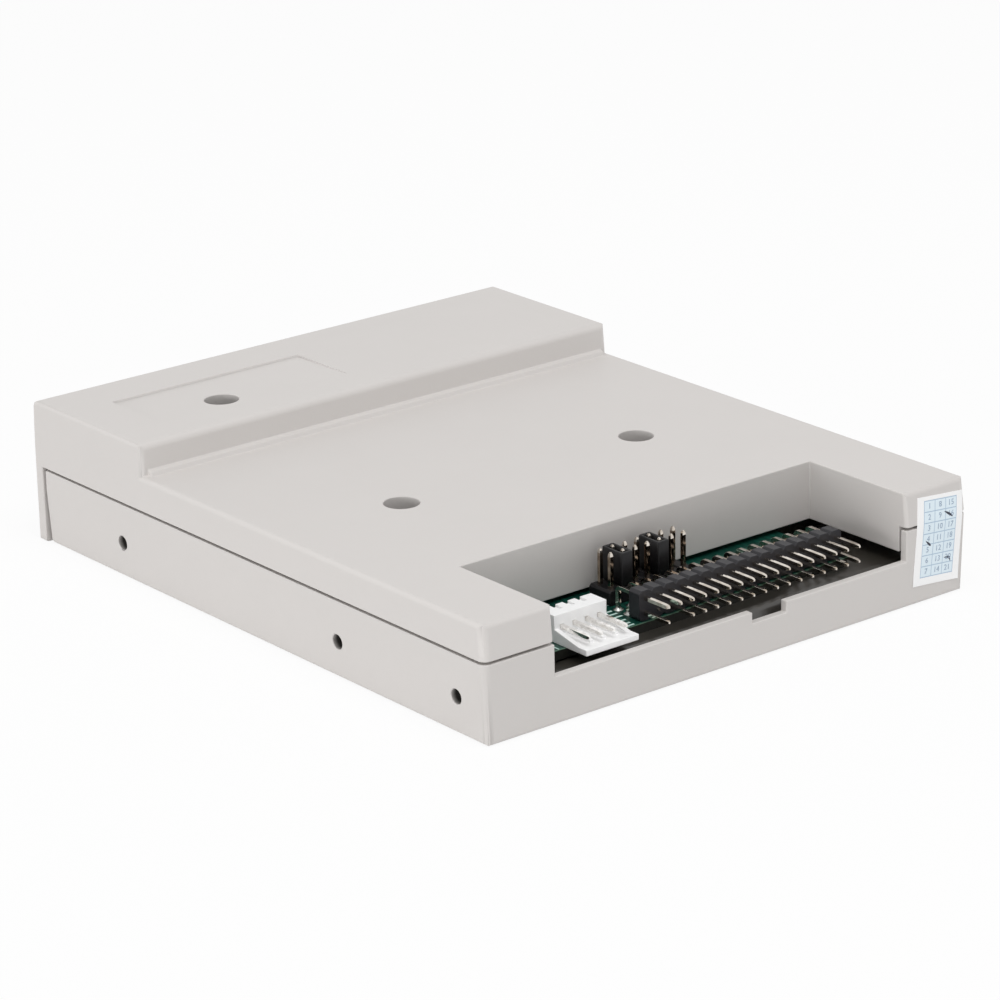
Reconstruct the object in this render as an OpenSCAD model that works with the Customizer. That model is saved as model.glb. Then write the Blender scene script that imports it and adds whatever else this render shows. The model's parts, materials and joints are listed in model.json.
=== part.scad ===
// Floppy drive emulator for a 3.5 inch bay: two plastic shells around one circuit board.
// Millimetres. +Z is up, the front panel faces -Y, the rear connectors face +Y.
// The origin is on the resting plane, below the middle of the case.

/* [Case] */
// Width of the case across the seam
case_w = 101.6; // [99:0.1:106]
// Depth of the case, front face to rear face
case_d = 123; // [119:0.5:140]
// Height of the raised front, which is the height of the front panel
front_h = 25; // [23.5:0.1:28]
// Height of the deck behind the raised front
deck_h = 19.5; // [18.5:0.1:21]
// Height of the middle of the seam between the shells
seam_z = 13.5; // [12.9:0.1:15]
// Open gap left along the seam
seam_gap = 0.45; // [0.2:0.05:0.5]
// Depth of the raised front at its top edge
hump_d = 32; // [29:0.5:40]
// Thickness of the side walls, floor and top
wall = 2; // [1.6:0.1:2.4]
// Thickness of the front panel
bezel_t = 2.3; // [2:0.1:3]
// Draft angle of the moulded walls
draft = 2.4; // [1:0.1:4]
// Draft angle of the top shell's rear face
rear_draft = 6; // [1:0.5:8]
// Radius of the upright corners
corner_r = 1.5; // [0.8:0.1:2.5]
// Radius of the corners of the front panel
panel_r = 0.6; // [0.4:0.1:1.2]
// Radius along the long outer edges
edge_r = 0.8; // [0.4:0.1:1.2]
// Radius along the top of the step
step_r = 1.2; // [0.6:0.1:2]
// Radius of the upright corners at the ends of the step
step_end_r = 1.2; // [0.6:0.1:2]
// Height of the bead along the foot of the step
bead_h = 1.1; // [0.6:0.1:1.6]

/* [Label recess] */
// Width of the recess on the raised front
label_w = 39.2; // [30:0.2:44]
// Depth of the recess from front to back
label_d = 14.4; // [10:0.2:16]
// How far the recess is sunk along its front edge
label_sink = 0.4; // [0.2:0.05:0.6]
// How far the recess is sunk along its rear edge
label_rear_sink = 0.06; // [0.05:0.01:0.2]
// Sideways place of the middle of the recess
label_x = 21.2; // [18:0.1:24]
// Distance from the front face to the middle of the recess
label_from_front = 17; // [14:0.1:19]

/* [Rear bay] */
// Distance from each side of the case to the connector bay
bay_from_side = 13.8; // [12:0.1:16]
// Depth of the connector bay from the rear face
bay_d = 23; // [21.5:0.5:26]
// Thickness of the wall around the bay
bay_wall = 1.6; // [1.2:0.1:2]
// Gap left between the bay wall and the circuit board
bay_wall_gap = 0.8; // [0.5:0.1:2.2]
// Radius of the corners where the bay meets the rear face
bay_r = 0.8; // [0.4:0.1:1.2]
// Height of the low rear wall below the connectors
sill_z = 8; // [7.5:0.1:9]
// Thickness of the low rear wall
sill_t = 1.4; // [1:0.1:2]
// Width of the notch in the low rear wall
notch_w = 7.3; // [4:0.1:10]
// Depth of the notch
notch_h = 1.9; // [1:0.1:2.6]
// Sideways place of the notch
notch_x = -7; // [-16:0.5:10]

/* [Screws and side holes] */
// Spacing of the rear pair of cover screws
cover_pitch = 50; // [46:0.5:54]
// Sideways offset of the cover screws from the middle of the case
cover_shift_x = 0.8; // [0:0.1:2]
// Distance from the rear face to the rear pair of cover screws
cover_from_rear = 52.2; // [49:0.1:55]
// Distance from the front face to the front cover screw
cover_from_front = 20.8; // [20:0.1:24]
// Diameter of the deep holes that the cover screws drop into
cover_well_d = 6; // [5.6:0.1:6.6]
// Thickness of plastic under a cover screw's head
cover_seat_t = 3; // [2:0.1:4]
// Shank diameter of a cover screw
cover_screw_d = 2.6; // [2.2:0.1:3]
// Head diameter of a cover screw
cover_head_d = 5; // [4.4:0.1:5.2]
// Shank diameter of a board screw
board_screw_d = 2.2; // [1.8:0.1:2.6]
// Diameter of the side mounting holes
side_hole_d = 2.5; // [2.3:0.1:3]
// Depth of the side mounting holes
side_hole_l = 5.5; // [4:0.1:6]
// Height of the side mounting holes
side_hole_z = 6.2; // [5.5:0.1:6.7]
// Spacing from the front side hole to the middle one
side_pitch_front = 60; // [56:0.5:64]
// Spacing from the middle side hole to the rear one
side_pitch_rear = 30; // [26:0.5:34]
// Distance from the rear face to the rear side hole
side_from_rear = 7.3; // [6.5:0.1:9]

/* [Circuit board] */
// Thickness of the circuit board
board_t = 1.6; // [1.2:0.1:2]
// Height of the board's upper face
board_top = 8.5; // [8:0.1:9]
// Distance from the rear face to the board's rear edge
board_from_rear = 7; // [6:0.1:8]
// Thickness of the insulating sheet on the floor
sheet_t = 0.2; // [0.1:0.05:0.4]

/* [Rear connectors] */
// Pitch of the pin headers
pitch = 2.54; // [2.5:0.01:2.6]
// Width of a square header pin
pin_w = 0.64; // [0.5:0.02:0.7]
// Columns of the drive header
header_cols = 17; // [13:1:18]
// Sideways place of the drive header's first column
header_x = 12.3; // [11:0.1:13]
// Length of the header pins behind their block
header_pin_l = 5.7; // [5:0.1:6.5]
// Columns of the jumper block
jumper_cols = 7; // [6:1:8]
// Sideways place of the jumper block's first column
jumper_x = 11.4; // [10:0.1:13]
// Distance from the front wall of the bay to the front row of jumper pins
jumper_from_bay = 3.4; // [3:0.1:3.8]
// Length of the jumper pins above their block
jumper_pin_l = 6; // [5.5:0.1:7]
// Column of the first jumper cap, counted from 0
cap_a_col = 1; // [0:1:2]
// Column of the second jumper cap, counted from 0
cap_b_col = 4; // [3:1:5]
// Height of a jumper cap
cap_h = 5.6; // [5:0.1:6.4]
// Pitch of the power pins
power_pitch = 2.5; // [2.4:0.02:2.54]
// Sideways place of the middle of the power connector
power_x = 23.7; // [22:0.1:28]
// Height of the power connector's block
power_h = 4.5; // [4:0.1:6]
// Length of the power connector's tongue
power_tongue_l = 7.7; // [6:0.1:9]

/* [Front panel] */
// Distance from the left side of the case to the middle of the display
display_from_side = 26.8; // [20:0.1:30]
// Width of the display block
display_w = 19.2; // [16:0.2:22]
// Height of the display block
display_h = 10.2; // [9:0.2:11.5]
// Height of a digit
digit_h = 7; // [6:0.1:7.6]
// Sideways place of the first button
button_up_x = -4; // [-6:0.5:-3]
// Sideways place of the second button
button_down_x = 5; // [4:0.5:6]
// Diameter of a button
button_d = 4.4; // [3.6:0.1:5]
// How far a button travels
button_travel = 0.5; // [0.3:0.05:0.8]
// Sideways place of the activity lamp
lamp_x = 13; // [11.5:0.5:15]
// Diameter of the activity lamp
lamp_d = 3; // [2:0.1:4]
// Distance from the right side of the case to the middle of the USB socket
usb_from_side = 23.8; // [18:0.1:26]
// Width of the USB socket's metal shell
usb_w = 13.1; // [12.6:0.1:14]
// Height of the USB socket's metal shell
usb_h = 5.8; // [5.4:0.1:6.6]
// Length of the USB socket
usb_l = 14; // [12:0.1:15]

/* [Sticker] */
// Width of the sticker across the rear seam
sticker_w = 10.2; // [8:0.1:10.4]
// Height of the sticker
sticker_h = 15; // [12:0.1:15.2]
// Distance from the left side of the case to the middle of the sticker
sticker_from_side = 6.4; // [6.2:0.1:7.8]
// Tilt of the sticker
sticker_tilt = 5; // [0:0.5:6]

/* [Hidden] */

$fn = 48;
arc_steps = 6;
past = 1;
root = 0.4;
trim_slack = 0.01;
fit = 0.02;
slide_gap = 0.3;
part_gap = 0.3;
screw_slack = 0.6;
tip_share = 0.3;

half_w = case_w / 2;
front_y = -case_d / 2;
rear_y = case_d / 2;
top_z = seam_z + seam_gap / 2;
base_z = seam_z - seam_gap / 2;
base_inset = base_z * tan(draft);
deck_inset = (deck_h - top_z) * tan(draft);
deck_rear_y = rear_y - (deck_h - top_z) * tan(rear_draft);
front_inset = (front_h - top_z) * tan(draft);
bezel_y = front_y + bezel_t;
step_y = front_y + hump_d;
step_foot_y = step_y + (front_h - deck_h) * tan(draft);
base_front_y = bezel_y + seam_gap;
inner_half_w = half_w - max(base_inset, front_inset) - wall;
base_inner_front_y = base_front_y + base_inset + wall;
sill_y = rear_y - sill_t;

bay_half = half_w - bay_from_side;
bay_y = rear_y - bay_d;
bay_wall_z = board_top + bay_wall_gap;

board_z = board_top - board_t;
board_rear_y = rear_y - board_from_rear;
board_front_y = base_inner_front_y + part_gap;
side_boss_wall = 2.1;
side_boss_end = 1;
side_boss_d = side_hole_d + 2 * side_boss_wall;
side_boss_l = side_hole_l + side_boss_end;
side_boss_gap = 0.8;
board_half = half_w - side_boss_l - side_boss_gap;

cover_rear_y = rear_y - cover_from_rear;
cover_front_y = front_y + cover_from_front;
cover_right_x = cover_shift_x + cover_pitch / 2;
cover_left_x = cover_shift_x - cover_pitch / 2;
COVER_PLACES = [
  [cover_right_x, cover_rear_y, deck_h], [cover_left_x, cover_rear_y, deck_h],
  [cover_right_x, cover_front_y, front_h]
];
cover_head_h = 2;
cover_boss_wall = 1.2;
cover_post_wall = 2.2;
cover_hole_d = cover_screw_d + screw_slack;
cover_boss_d = cover_well_d + 2 * cover_boss_wall;
cover_seat_z = board_top + cover_seat_t;
base_boss_d = cover_screw_d + 2 * cover_post_wall;
screw_foot_gap = 0.6;
cover_screw_l = cover_seat_z - wall - screw_foot_gap;
board_screw_l = board_top - wall - screw_foot_gap;

post_d = 6;
post_edge = 1;
board_screw_ahead = 8;
board_screw_inset = 6;
board_screw_y = bay_y - bay_wall - board_screw_ahead;
board_screw_x = board_half - board_screw_inset;
BOARD_SCREW_PLACES = [[board_screw_x, board_screw_y], [-board_screw_x, board_screw_y]];
board_head_d = board_screw_d * 2;
board_head_h = 1.6;

side_rear_y = rear_y - side_from_rear;
SIDE_HOLES = [side_rear_y, side_rear_y - side_pitch_rear, side_rear_y - side_pitch_rear - side_pitch_front];

header_block = 2 * pitch;
header_inset = 0.6;
header_rear_y = board_rear_y - header_inset;
header_front_y = header_rear_y - pitch;
header_row_z = board_top + pitch / 2;
header_tip_y = header_rear_y + header_pin_l;
header_bend = 1.5;
key_col = 1;
key_stub = 0.4;
pin_tail = 1.4;
tail_z = board_z - pin_tail;
pin_hole_slack = 0.36;
pin_hole_w = pin_w + pin_hole_slack;
board_rim = 0.8;
board_cut_x = header_col_x(header_cols - 1) - pitch / 2 - board_rim;
board_cut_y = bay_y - bay_wall;
REST_POSTS = [
  [board_half - post_edge - post_d / 2, board_rear_y - post_edge - post_d / 2],
  [board_cut_x + post_edge + post_d / 2, header_bend_y(1) - pin_hole_w / 2 - post_edge - post_d / 2]
];

jumper_far_y = bay_y + jumper_from_bay;
jumper_near_y = jumper_far_y + pitch;
jumper_mid_y = (jumper_far_y + jumper_near_y) / 2;
jumper_base_top = board_top + pitch;
jumper_tip_z = jumper_base_top + jumper_pin_l;
cap_slack = 0.14;
cap_r = 0.3;
cap_w = pitch - cap_slack;
cap_d = 2 * pitch - cap_slack;
cap_lift = 0.15;
cap_z = jumper_base_top + cap_lift;
clip_t = 0.2;
clip_gap = 0.14;
clip_w = pin_w + 2 * clip_gap + 2 * clip_t;
clip_over = 0.6;
clip_short = 1;
clip_l = pitch + pin_w + clip_over;
cap_slot_w = clip_w + 2 * fit;
cap_slot_l = clip_l + 2 * fit;

power_cols = 4;
power_ends = 3.1;
power_inset = 2.8;
power_w = (power_cols - 1) * power_pitch + power_ends;
power_block_y = board_rear_y - power_inset;
power_block_d = 3.8;
power_back_y = power_block_y - power_block_d;
power_plate_t = 1;
power_rail_w = 0.9;
power_rail_h = 2.2;
power_ramp = 2;
power_rib_w = 0.7;
power_rib_h = 0.5;
power_crown_w = 1;
power_crown_h = 0.5;
power_pin_rise = 2.4;
power_pin_short = 1;
power_tip_y = power_block_y + power_tongue_l;
power_pin_z = board_top + power_pin_rise;
power_pin_tip_y = power_tip_y - power_pin_short;
power_bend_y = power_block_y - power_block_d / 2;

panel_rise = 3.4;
panel_z = board_top + panel_rise;
display_x = display_from_side - half_w;
usb_x = half_w - usb_from_side;
lens_t = 0.6;
lens_lip = 1;
lens_over = 1;
lens_under = 0.4;
lens_sink = 0.2;
lens_w = display_w + lens_over;
lens_h = display_h - lens_under;
display_lift = 0.6;
display_z = board_top + display_lift;
display_mid_z = display_z + display_h / 2;
display_d = 6.2;
segment_t = 0.15;
segment_gap = 0.1;
segment_ends = 0.12;
display_face_y = bezel_y + lens_t + segment_t + segment_gap;
display_back_y = display_face_y + display_d;
digits = 3;
digit_share = 0.55;
segment_share = 0.13;
digit_w = digit_h * digit_share;
digit_pitch = display_w / digits;
segment_w = digit_h * segment_share;
display_pin_w = 0.5;
display_cols = 6;
display_leg_inset = 1.4;
display_leg_sink = 1;
display_leg_run = 1;
display_pin_rows = [display_z + display_leg_inset, display_z + display_h - display_leg_inset];

flange_rim = 0.9;
flange_d = button_d + 2 * flange_rim;
flange_t = 0.8;
button_back_y = bezel_y + slide_gap + flange_t;
plunger_d = 3;
plunger_reach = 1.2;
switch_w = 6;
switch_d = 4.2;
switch_h = 6.4;
switch_gap = 1;
switch_face_y = button_back_y + button_travel + switch_gap;
plunger_in = 1;
plunger_well = plunger_in + button_travel + slide_gap;

lamp_rim = 0.4;
lamp_flange_d = lamp_d + 2 * lamp_rim;
lamp_flange_t = 1;
lamp_len = 4;
lamp_sink = 0.3;
lamp_leg_w = 0.5;
lamp_leg_run = 1.5;
lamp_tip_y = front_y + lamp_sink;
lamp_back_y = bezel_y + lamp_len;

usb_sheet = 0.3;
usb_front_y = front_y;
usb_back_y = usb_front_y + usb_l;
usb_block_l = 3;
usb_tongue_t = 1.9;
usb_side_gap = 1;
usb_top_gap = 0.8;
usb_tongue_w = usb_w - 2 * usb_side_gap;
usb_tongue_z = board_top + usb_h - usb_sheet - usb_top_gap - usb_tongue_t;
usb_contact_t = 0.2;
usb_contact_w = 1;
usb_contact_pitch = 2.3;
usb_contact_back = 1;
usb_mouth = 1.2;

sticker_t = 0.08;
sticker_edge = 0.85;
sticker_x = sticker_from_side - half_w;
sticker_mid_z = deck_h - edge_r - sticker_edge - sticker_h / 2;

lead_t = 0.15;
lead_reach = 1;
mid_board_y = (board_front_y + board_rear_y) / 2;
mcu_ahead = 12;
supply_ahead = 18;
buffer_behind = 22;

mcu_w = 10;
mcu_h = 1.4;
mcu_pitch = 0.5;
mcu_lead_w = 0.25;
mcu_side_leads = 16;
MCU_PLACE = [0, mid_board_y - mcu_ahead];

crystal_l = 11;
crystal_w = 4.6;
crystal_h = 3.6;
crystal_off = 16;
CRYSTAL_PLACE = [-crystal_off, mid_board_y - mcu_ahead];

regulator_l = 6.5;
regulator_w = 3.5;
regulator_h = 1.6;
regulator_off = 14;
tab_w = 3;
leg_w = 0.7;
leg_pitch = 2.3;
leg_reach = 1.8;
REGULATOR_PLACE = [regulator_off, mid_board_y - supply_ahead];

can_d = 6.3;
can_h = 5.2;
can_base = 6.6;
can_base_h = 0.6;
can_inset = 4.5;
can_pitch = 9;
CAN_PLACES = [for (i = [0, 1]) [board_half - can_inset - i * can_pitch, mid_board_y - supply_ahead]];

buffer_l = 8.6;
buffer_w = 3.9;
buffer_h = 1.4;
buffer_pitch = 1.27;
buffer_lead_w = 0.4;
buffer_side_leads = 7;
buffer_mid_x = -4;
buffer_spread = 16;
BUFFER_PLACES = [for (side = [-0.5, 0.5]) [buffer_mid_x + side * buffer_spread, mid_board_y + buffer_behind]];

resistor_l = 2;
resistor_w = 1.25;
resistor_h = 0.5;
resistor_pitch = 3;
resistor_rows = 2;
resistor_cols = 5;

// Small helpers

function unit(v) = v / norm(v);
function joined(lists) = [for (a = lists) for (b = a) b];
function xy(p) = [p.x, p.y];

// Points of the arc that rounds corner c, between neighbours a and b, with radius r
function corner_arc(a, c, b, r) =
  let (
    u = unit(a - c),
    v = unit(b - c),
    half = acos(u * v) / 2,
    mid = c + unit(u + v) * r / sin(half),
    from = c + u * r / tan(half) - mid,
    to = c + v * r / tan(half) - mid,
    start = atan2(from.y, from.x),
    turn = (atan2(to.y, to.x) - start + 540) % 360 - 180
  )
  [for (i = [0:arc_steps]) mid + r * [cos(start + turn * i / arc_steps), sin(start + turn * i / arc_steps)]];

// Outline through points [x, y, radius], each corner rounded by its own radius
function rounded(points) =
  let (n = len(points))
  joined([
    for (i = [0:n - 1])
      points[i].z > 0
        ? corner_arc(xy(points[(i + n - 1) % n]), xy(points[i]), xy(points[(i + 1) % n]), points[i].z)
        : [xy(points[i])]
  ]);

// Extrusions of an outline drawn as (x, z), as (y, z) or as (x, y)
module along_y(from, to) {
  translate([0, to, 0])
    rotate([90, 0, 0])
      linear_extrude(to - from)
        children();
}

module along_x(from, to) {
  translate([from, 0, 0])
    rotate([90, 0, 90])
      linear_extrude(to - from)
        children();
}

module along_z(from, to) {
  translate([0, 0, from])
    linear_extrude(to - from)
      children();
}

// A block from its lowest to its highest value on each axis
module block(x, y, z) {
  translate([x[0], y[0], z[0]])
    cube([x[1] - x[0], y[1] - y[0], z[1] - z[0]]);
}

// A round bar along Y, centred on (x, z)
module bar_y(x, z, d, from, to) {
  translate([x, to, z])
    rotate([90, 0, 0])
      cylinder(d = d, h = to - from);
}

// A square pin that points to the rear and bends down into the board, grown by extra on every side
module bent_pin(x, z, w, bend_y, tip_y, foot_z, extra = 0) {
  h = w / 2 + extra;
  tip = extra > 0 ? 0 : w * tip_share;
  along_x(x - h, x + h)
    polygon(rounded([
      [bend_y - h, foot_z - extra, 0], [bend_y + h, foot_z - extra, 0],
      [bend_y + h, z - h, w / 2],
      [tip_y - tip, z - h, 0], [tip_y, z - h + tip, 0], [tip_y, z + h - tip, 0], [tip_y - tip, z + h, 0],
      [bend_y - h, z + h, w + h]
    ]));
}

// A gull-wing lead that leaves a chip at height z and lands on the board, drawn as (y, z) from the body's side
module gull_lead(w, z, reach) {
  knee = reach * 0.4;
  along_x(-w / 2, w / 2)
    polygon([
      [0, z], [knee, z], [knee + lead_t, board_top + lead_t], [reach, board_top + lead_t],
      [reach, board_top], [knee, board_top], [knee - lead_t, z - lead_t], [0, z - lead_t]
    ]);
}

// A pan-head screw standing on its seat at z, with a cross recess
module pan_screw(place, z, d, head_d, head_h, length) {
  cross_l = head_d * 0.6;
  cross_w = head_d * 0.16;
  cross_h = head_h * 0.6;
  translate([place.x, place.y, z])
    difference() {
      union() {
        cylinder(d = head_d, h = head_h);
        translate([0, 0, -length])
          cylinder(d = d, h = length + head_h / 2);
      }
      for (turn = [0, 90])
        rotate([0, 0, turn])
          block([-cross_l / 2, cross_l / 2], [-cross_w / 2, cross_w / 2], [head_h - cross_h, head_h + past]);
    }
}

// Case shells

// Plan of a block of the case with its own corner radii at the front and at the rear
module case_plan(from_y, to_y, front_r, back_r) {
  polygon(rounded([
    [-half_w, from_y, front_r], [half_w, from_y, front_r],
    [half_w, to_y, back_r], [-half_w, to_y, back_r]
  ]));
}

// What lies outside a bar of radius r along a leaning upright edge; way says which side is outside
module corner_trim(foot, head, way, r) {
  lean = unit(head - foot);
  length = norm(head - foot);
  translate(foot)
    rotate([-asin(lean.y), atan2(lean.x, lean.z), 0])
      difference() {
        translate([way.x > 0 ? -r : -past, way.y > 0 ? -r : -past, -past])
          cube([r + past, r + past, length + 2 * past]);
        translate([-way.x * r, -way.y * r, -2 * past])
          cylinder(r = r + trim_slack, h = length + 4 * past);
      }
}

// The same on both sides, for an edge given on the right
module corner_trims(foot, head, way, r) {
  for (side = [-1, 1])
    corner_trim([side * foot.x, foot.y, foot.z], [side * head.x, head.y, head.z], [side * way.x, way.y], r);
}

module deck_solid() {
  difference() {
    intersection() {
      along_y(bezel_y, rear_y)
        polygon(rounded([
          [-half_w, top_z, 0], [half_w, top_z, 0],
          [half_w - deck_inset, deck_h, edge_r], [-half_w + deck_inset, deck_h, edge_r]
        ]));
      along_x(-half_w, half_w)
        polygon(rounded([
          [bezel_y, top_z, 0], [rear_y, top_z, 0], [deck_rear_y, deck_h, edge_r], [bezel_y, deck_h, 0]
        ]));
    }
    corner_trims([half_w, rear_y, top_z], [half_w - deck_inset, deck_rear_y, deck_h], [1, 1], corner_r);
  }
}

module hump_solid() {
  difference() {
    intersection() {
      along_y(front_y, step_foot_y + past)
        polygon(rounded([
          [-half_w, top_z, 0], [half_w, top_z, 0],
          [half_w - front_inset, front_h, edge_r], [-half_w + front_inset, front_h, edge_r]
        ]));
      along_x(-half_w, half_w)
        polygon(rounded([
          [front_y, top_z, 0], [step_foot_y, top_z, 0], [step_foot_y, deck_h, 0],
          [step_y, front_h, step_r], [front_y, front_h, edge_r]
        ]));
      along_z(top_z - past, front_h + past)
        case_plan(front_y, step_foot_y, panel_r, 0);
    }
    corner_trims(
      [half_w - deck_inset, step_foot_y, deck_h], [half_w - front_inset, step_y, front_h], [1, 1], step_end_r
    );
  }
}

module bezel_solid() {
  intersection() {
    along_y(front_y, bezel_y)
      polygon(rounded([
        [-half_w, 0, panel_r], [half_w, 0, panel_r], [half_w, top_z, 0],
        [half_w - front_inset, front_h, edge_r], [-half_w + front_inset, front_h, edge_r], [-half_w, top_z, 0]
      ]));
    along_x(-half_w, half_w)
      polygon(rounded([
        [front_y, 0, edge_r], [bezel_y, 0, 0], [bezel_y, front_h, 0], [front_y, front_h, edge_r]
      ]));
    along_z(-past, front_h + past)
      case_plan(front_y, bezel_y + past, panel_r, 0);
  }
}

// The bead along the foot of the step stops short of the rounded sides
module step_bead() {
  bead_end = half_w - deck_inset - 2 * edge_r;
  crest = bead_h * 0.7;
  along_x(-bead_end, bead_end)
    polygon([
      [step_y - root, deck_h - root], [step_foot_y + bead_h, deck_h - root], [step_foot_y + bead_h, deck_h],
      [step_foot_y + crest, deck_h + crest], [step_y - root, deck_h + bead_h]
    ]);
}

module bay_walls() {
  outer = bay_half + bay_wall;
  block([-outer, outer], [bay_y - bay_wall, sill_y - seam_gap], [bay_wall_z, deck_h - wall + root]);
  block([-outer, outer], [bay_y, deck_rear_y - wall + root], [top_z, deck_h - wall + root]);
}

module cover_bosses() {
  for (p = COVER_PLACES)
    translate([p.x, p.y, board_top])
      cylinder(d = cover_boss_d, h = p.z - wall + root - board_top);
}

module cover_wells() {
  for (p = COVER_PLACES) {
    translate([p.x, p.y, cover_seat_z])
      cylinder(d = cover_well_d, h = p.z + past - cover_seat_z);
    translate([p.x, p.y, board_top - past])
      cylinder(d = cover_hole_d, h = cover_seat_t + 2 * past);
  }
}

module panel_windows() {
  deep = [front_y - past, bezel_y + past];
  block(
    [display_x - lens_w / 2 - fit, display_x + lens_w / 2 + fit], deep,
    [display_mid_z - lens_h / 2 - fit, display_mid_z + lens_h / 2 + fit]
  );
  block(
    [usb_x - usb_w / 2 - part_gap, usb_x + usb_w / 2 + part_gap], deep,
    [board_top - part_gap, board_top + usb_h + part_gap]
  );
  for (x = [button_up_x, button_down_x])
    bar_y(x, panel_z, button_d + 2 * slide_gap, deep[0], deep[1]);
  bar_y(lamp_x, panel_z, lamp_d + 2 * fit, deep[0], deep[1]);
}

// The floor of the recess rises towards the rear
module label_recess() {
  middle = front_y + label_from_front;
  along_x(label_x - label_w / 2, label_x + label_w / 2)
    polygon([
      [middle - label_d / 2, front_h - label_sink], [middle + label_d / 2, front_h - label_rear_sink],
      [middle + label_d / 2, front_h + past], [middle - label_d / 2, front_h + past]
    ]);
}

module top_shell() {
  color("#d6d2cd")
    difference() {
      union() {
        difference() {
          union() {
            deck_solid();
            hump_solid();
          }
          block(
            [-inner_half_w, inner_half_w], [bezel_y, deck_rear_y - wall], [0, deck_h - wall]
          );
          block([-inner_half_w, inner_half_w], [bezel_y, step_y - wall], [0, front_h - wall]);
        }
        bezel_solid();
        step_bead();
        bay_walls();
        cover_bosses();
      }
      block([-bay_half, bay_half], [bay_y, rear_y + past], [0, deck_h + past]);
      cover_wells();
      corner_trims([bay_half, rear_y, top_z], [bay_half, deck_rear_y, deck_h], [-1, 1], bay_r);
      panel_windows();
      label_recess();
    }
}

module base_solid() {
  difference() {
    intersection() {
      along_y(base_front_y, rear_y)
        polygon(rounded([
          [-half_w + base_inset, 0, edge_r], [half_w - base_inset, 0, edge_r],
          [half_w, base_z, 0], [-half_w, base_z, 0]
        ]));
      along_x(-half_w, half_w)
        polygon(rounded([
          [base_front_y + base_inset, 0, edge_r], [rear_y, 0, edge_r], [rear_y, base_z, 0], [base_front_y, base_z, 0]
        ]));
      along_z(-past, base_z + past)
        case_plan(base_front_y, rear_y, edge_r, 0);
    }
    corner_trims([half_w - base_inset, rear_y, 0], [half_w, rear_y, base_z], [1, 1], corner_r);
  }
}

module base_posts() {
  for (p = COVER_PLACES)
    translate([p.x, p.y, wall - root])
      cylinder(d = base_boss_d, h = board_z - wall + root);
  for (p = concat(BOARD_SCREW_PLACES, REST_POSTS))
    translate([p.x, p.y, wall - root])
      cylinder(d = post_d, h = board_z - wall + root);
  for (y = SIDE_HOLES)
    for (side = [-1, 1])
      translate([side * (half_w - side_boss_l), y, side_hole_z])
        rotate([0, side * 90, 0])
          cylinder(d = side_boss_d, h = side_boss_l - base_inset - root);
}

module base_holes() {
  for (p = COVER_PLACES)
    translate([p.x, p.y, wall])
      cylinder(d = cover_screw_d + 2 * fit, h = board_z);
  for (p = BOARD_SCREW_PLACES)
    translate([p.x, p.y, wall])
      cylinder(d = board_screw_d + 2 * fit, h = board_z);
  for (y = SIDE_HOLES)
    for (side = [-1, 1])
      translate([side * (half_w - side_hole_l), y, side_hole_z])
        rotate([0, side * 90, 0])
          cylinder(d = side_hole_d, h = side_hole_l + past);
}

module bottom_shell() {
  color("#d3cfca")
    difference() {
      union() {
        difference() {
          base_solid();
          block([-inner_half_w, inner_half_w], [base_inner_front_y, sill_y], [wall, base_z + past]);
        }
        base_posts();
      }
      base_holes();
      block([-bay_half, bay_half], [sill_y - past, rear_y + past], [sill_z, base_z + past]);
      block(
        [notch_x - notch_w / 2, notch_x + notch_w / 2], [sill_y - past, rear_y + past],
        [sill_z - notch_h, base_z + past]
      );
      block(
        [-board_half, board_half], [base_front_y - past, base_inner_front_y + past],
        [board_z - part_gap, base_z + past]
      );
    }
}

module cover_screws() {
  color("silver")
    for (p = COVER_PLACES)
      pan_screw(p, cover_seat_z, cover_screw_d, cover_head_d, cover_head_h, cover_screw_l);
}

module board_screws() {
  color("silver")
    for (p = BOARD_SCREW_PLACES)
      pan_screw(p, board_top, board_screw_d, board_head_d, board_head_h, board_screw_l);
}

module insulating_sheet() {
  sheet_from = board_screw_y + post_d / 2 + post_edge;
  color("#1c1c1e")
    difference() {
      block([-board_half, board_half], [sheet_from, sill_y - part_gap], [wall, wall + sheet_t]);
      for (p = REST_POSTS)
        translate([p.x, p.y, 0])
          cylinder(d = post_d + 2 * part_gap, h = board_z);
    }
}

// The sheet follows the rear faces of both shells, then is cut to the tilted rectangle
module seam_sticker() {
  low_z = edge_r;
  high_z = deck_h - edge_r;
  high_y = rear_y - (high_z - top_z) * tan(rear_draft);
  color("white")
    intersection() {
      along_x(-half_w, 0)
        polygon([
          [rear_y, low_z], [rear_y, top_z], [high_y, high_z],
          [high_y + sticker_t, high_z], [rear_y + sticker_t, top_z], [rear_y + sticker_t, low_z]
        ]);
      translate([sticker_x, rear_y, sticker_mid_z])
        rotate([0, -sticker_tilt, 0])
          translate([-sticker_w / 2, -wall, -sticker_h / 2])
            cube([sticker_w, 2 * wall, sticker_h]);
    }
}

// Circuit board and rear connectors

function header_col_x(i) = header_x - i * pitch;
function jumper_col_x(i) = jumper_x - i * pitch;
function power_col_x(i) = power_x + ((power_cols - 1) / 2 - i) * power_pitch;
function power_between(i, w) = [power_col_x(i) - (power_pitch + w) / 2, power_col_x(i) - (power_pitch - w) / 2];
function header_bend_y(row) = header_front_y - header_bend - row * pitch;

module square_hole(x, y) {
  block(
    [x - pin_hole_w / 2, x + pin_hole_w / 2], [y - pin_hole_w / 2, y + pin_hole_w / 2],
    [board_z - past, board_top + past]
  );
}

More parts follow.
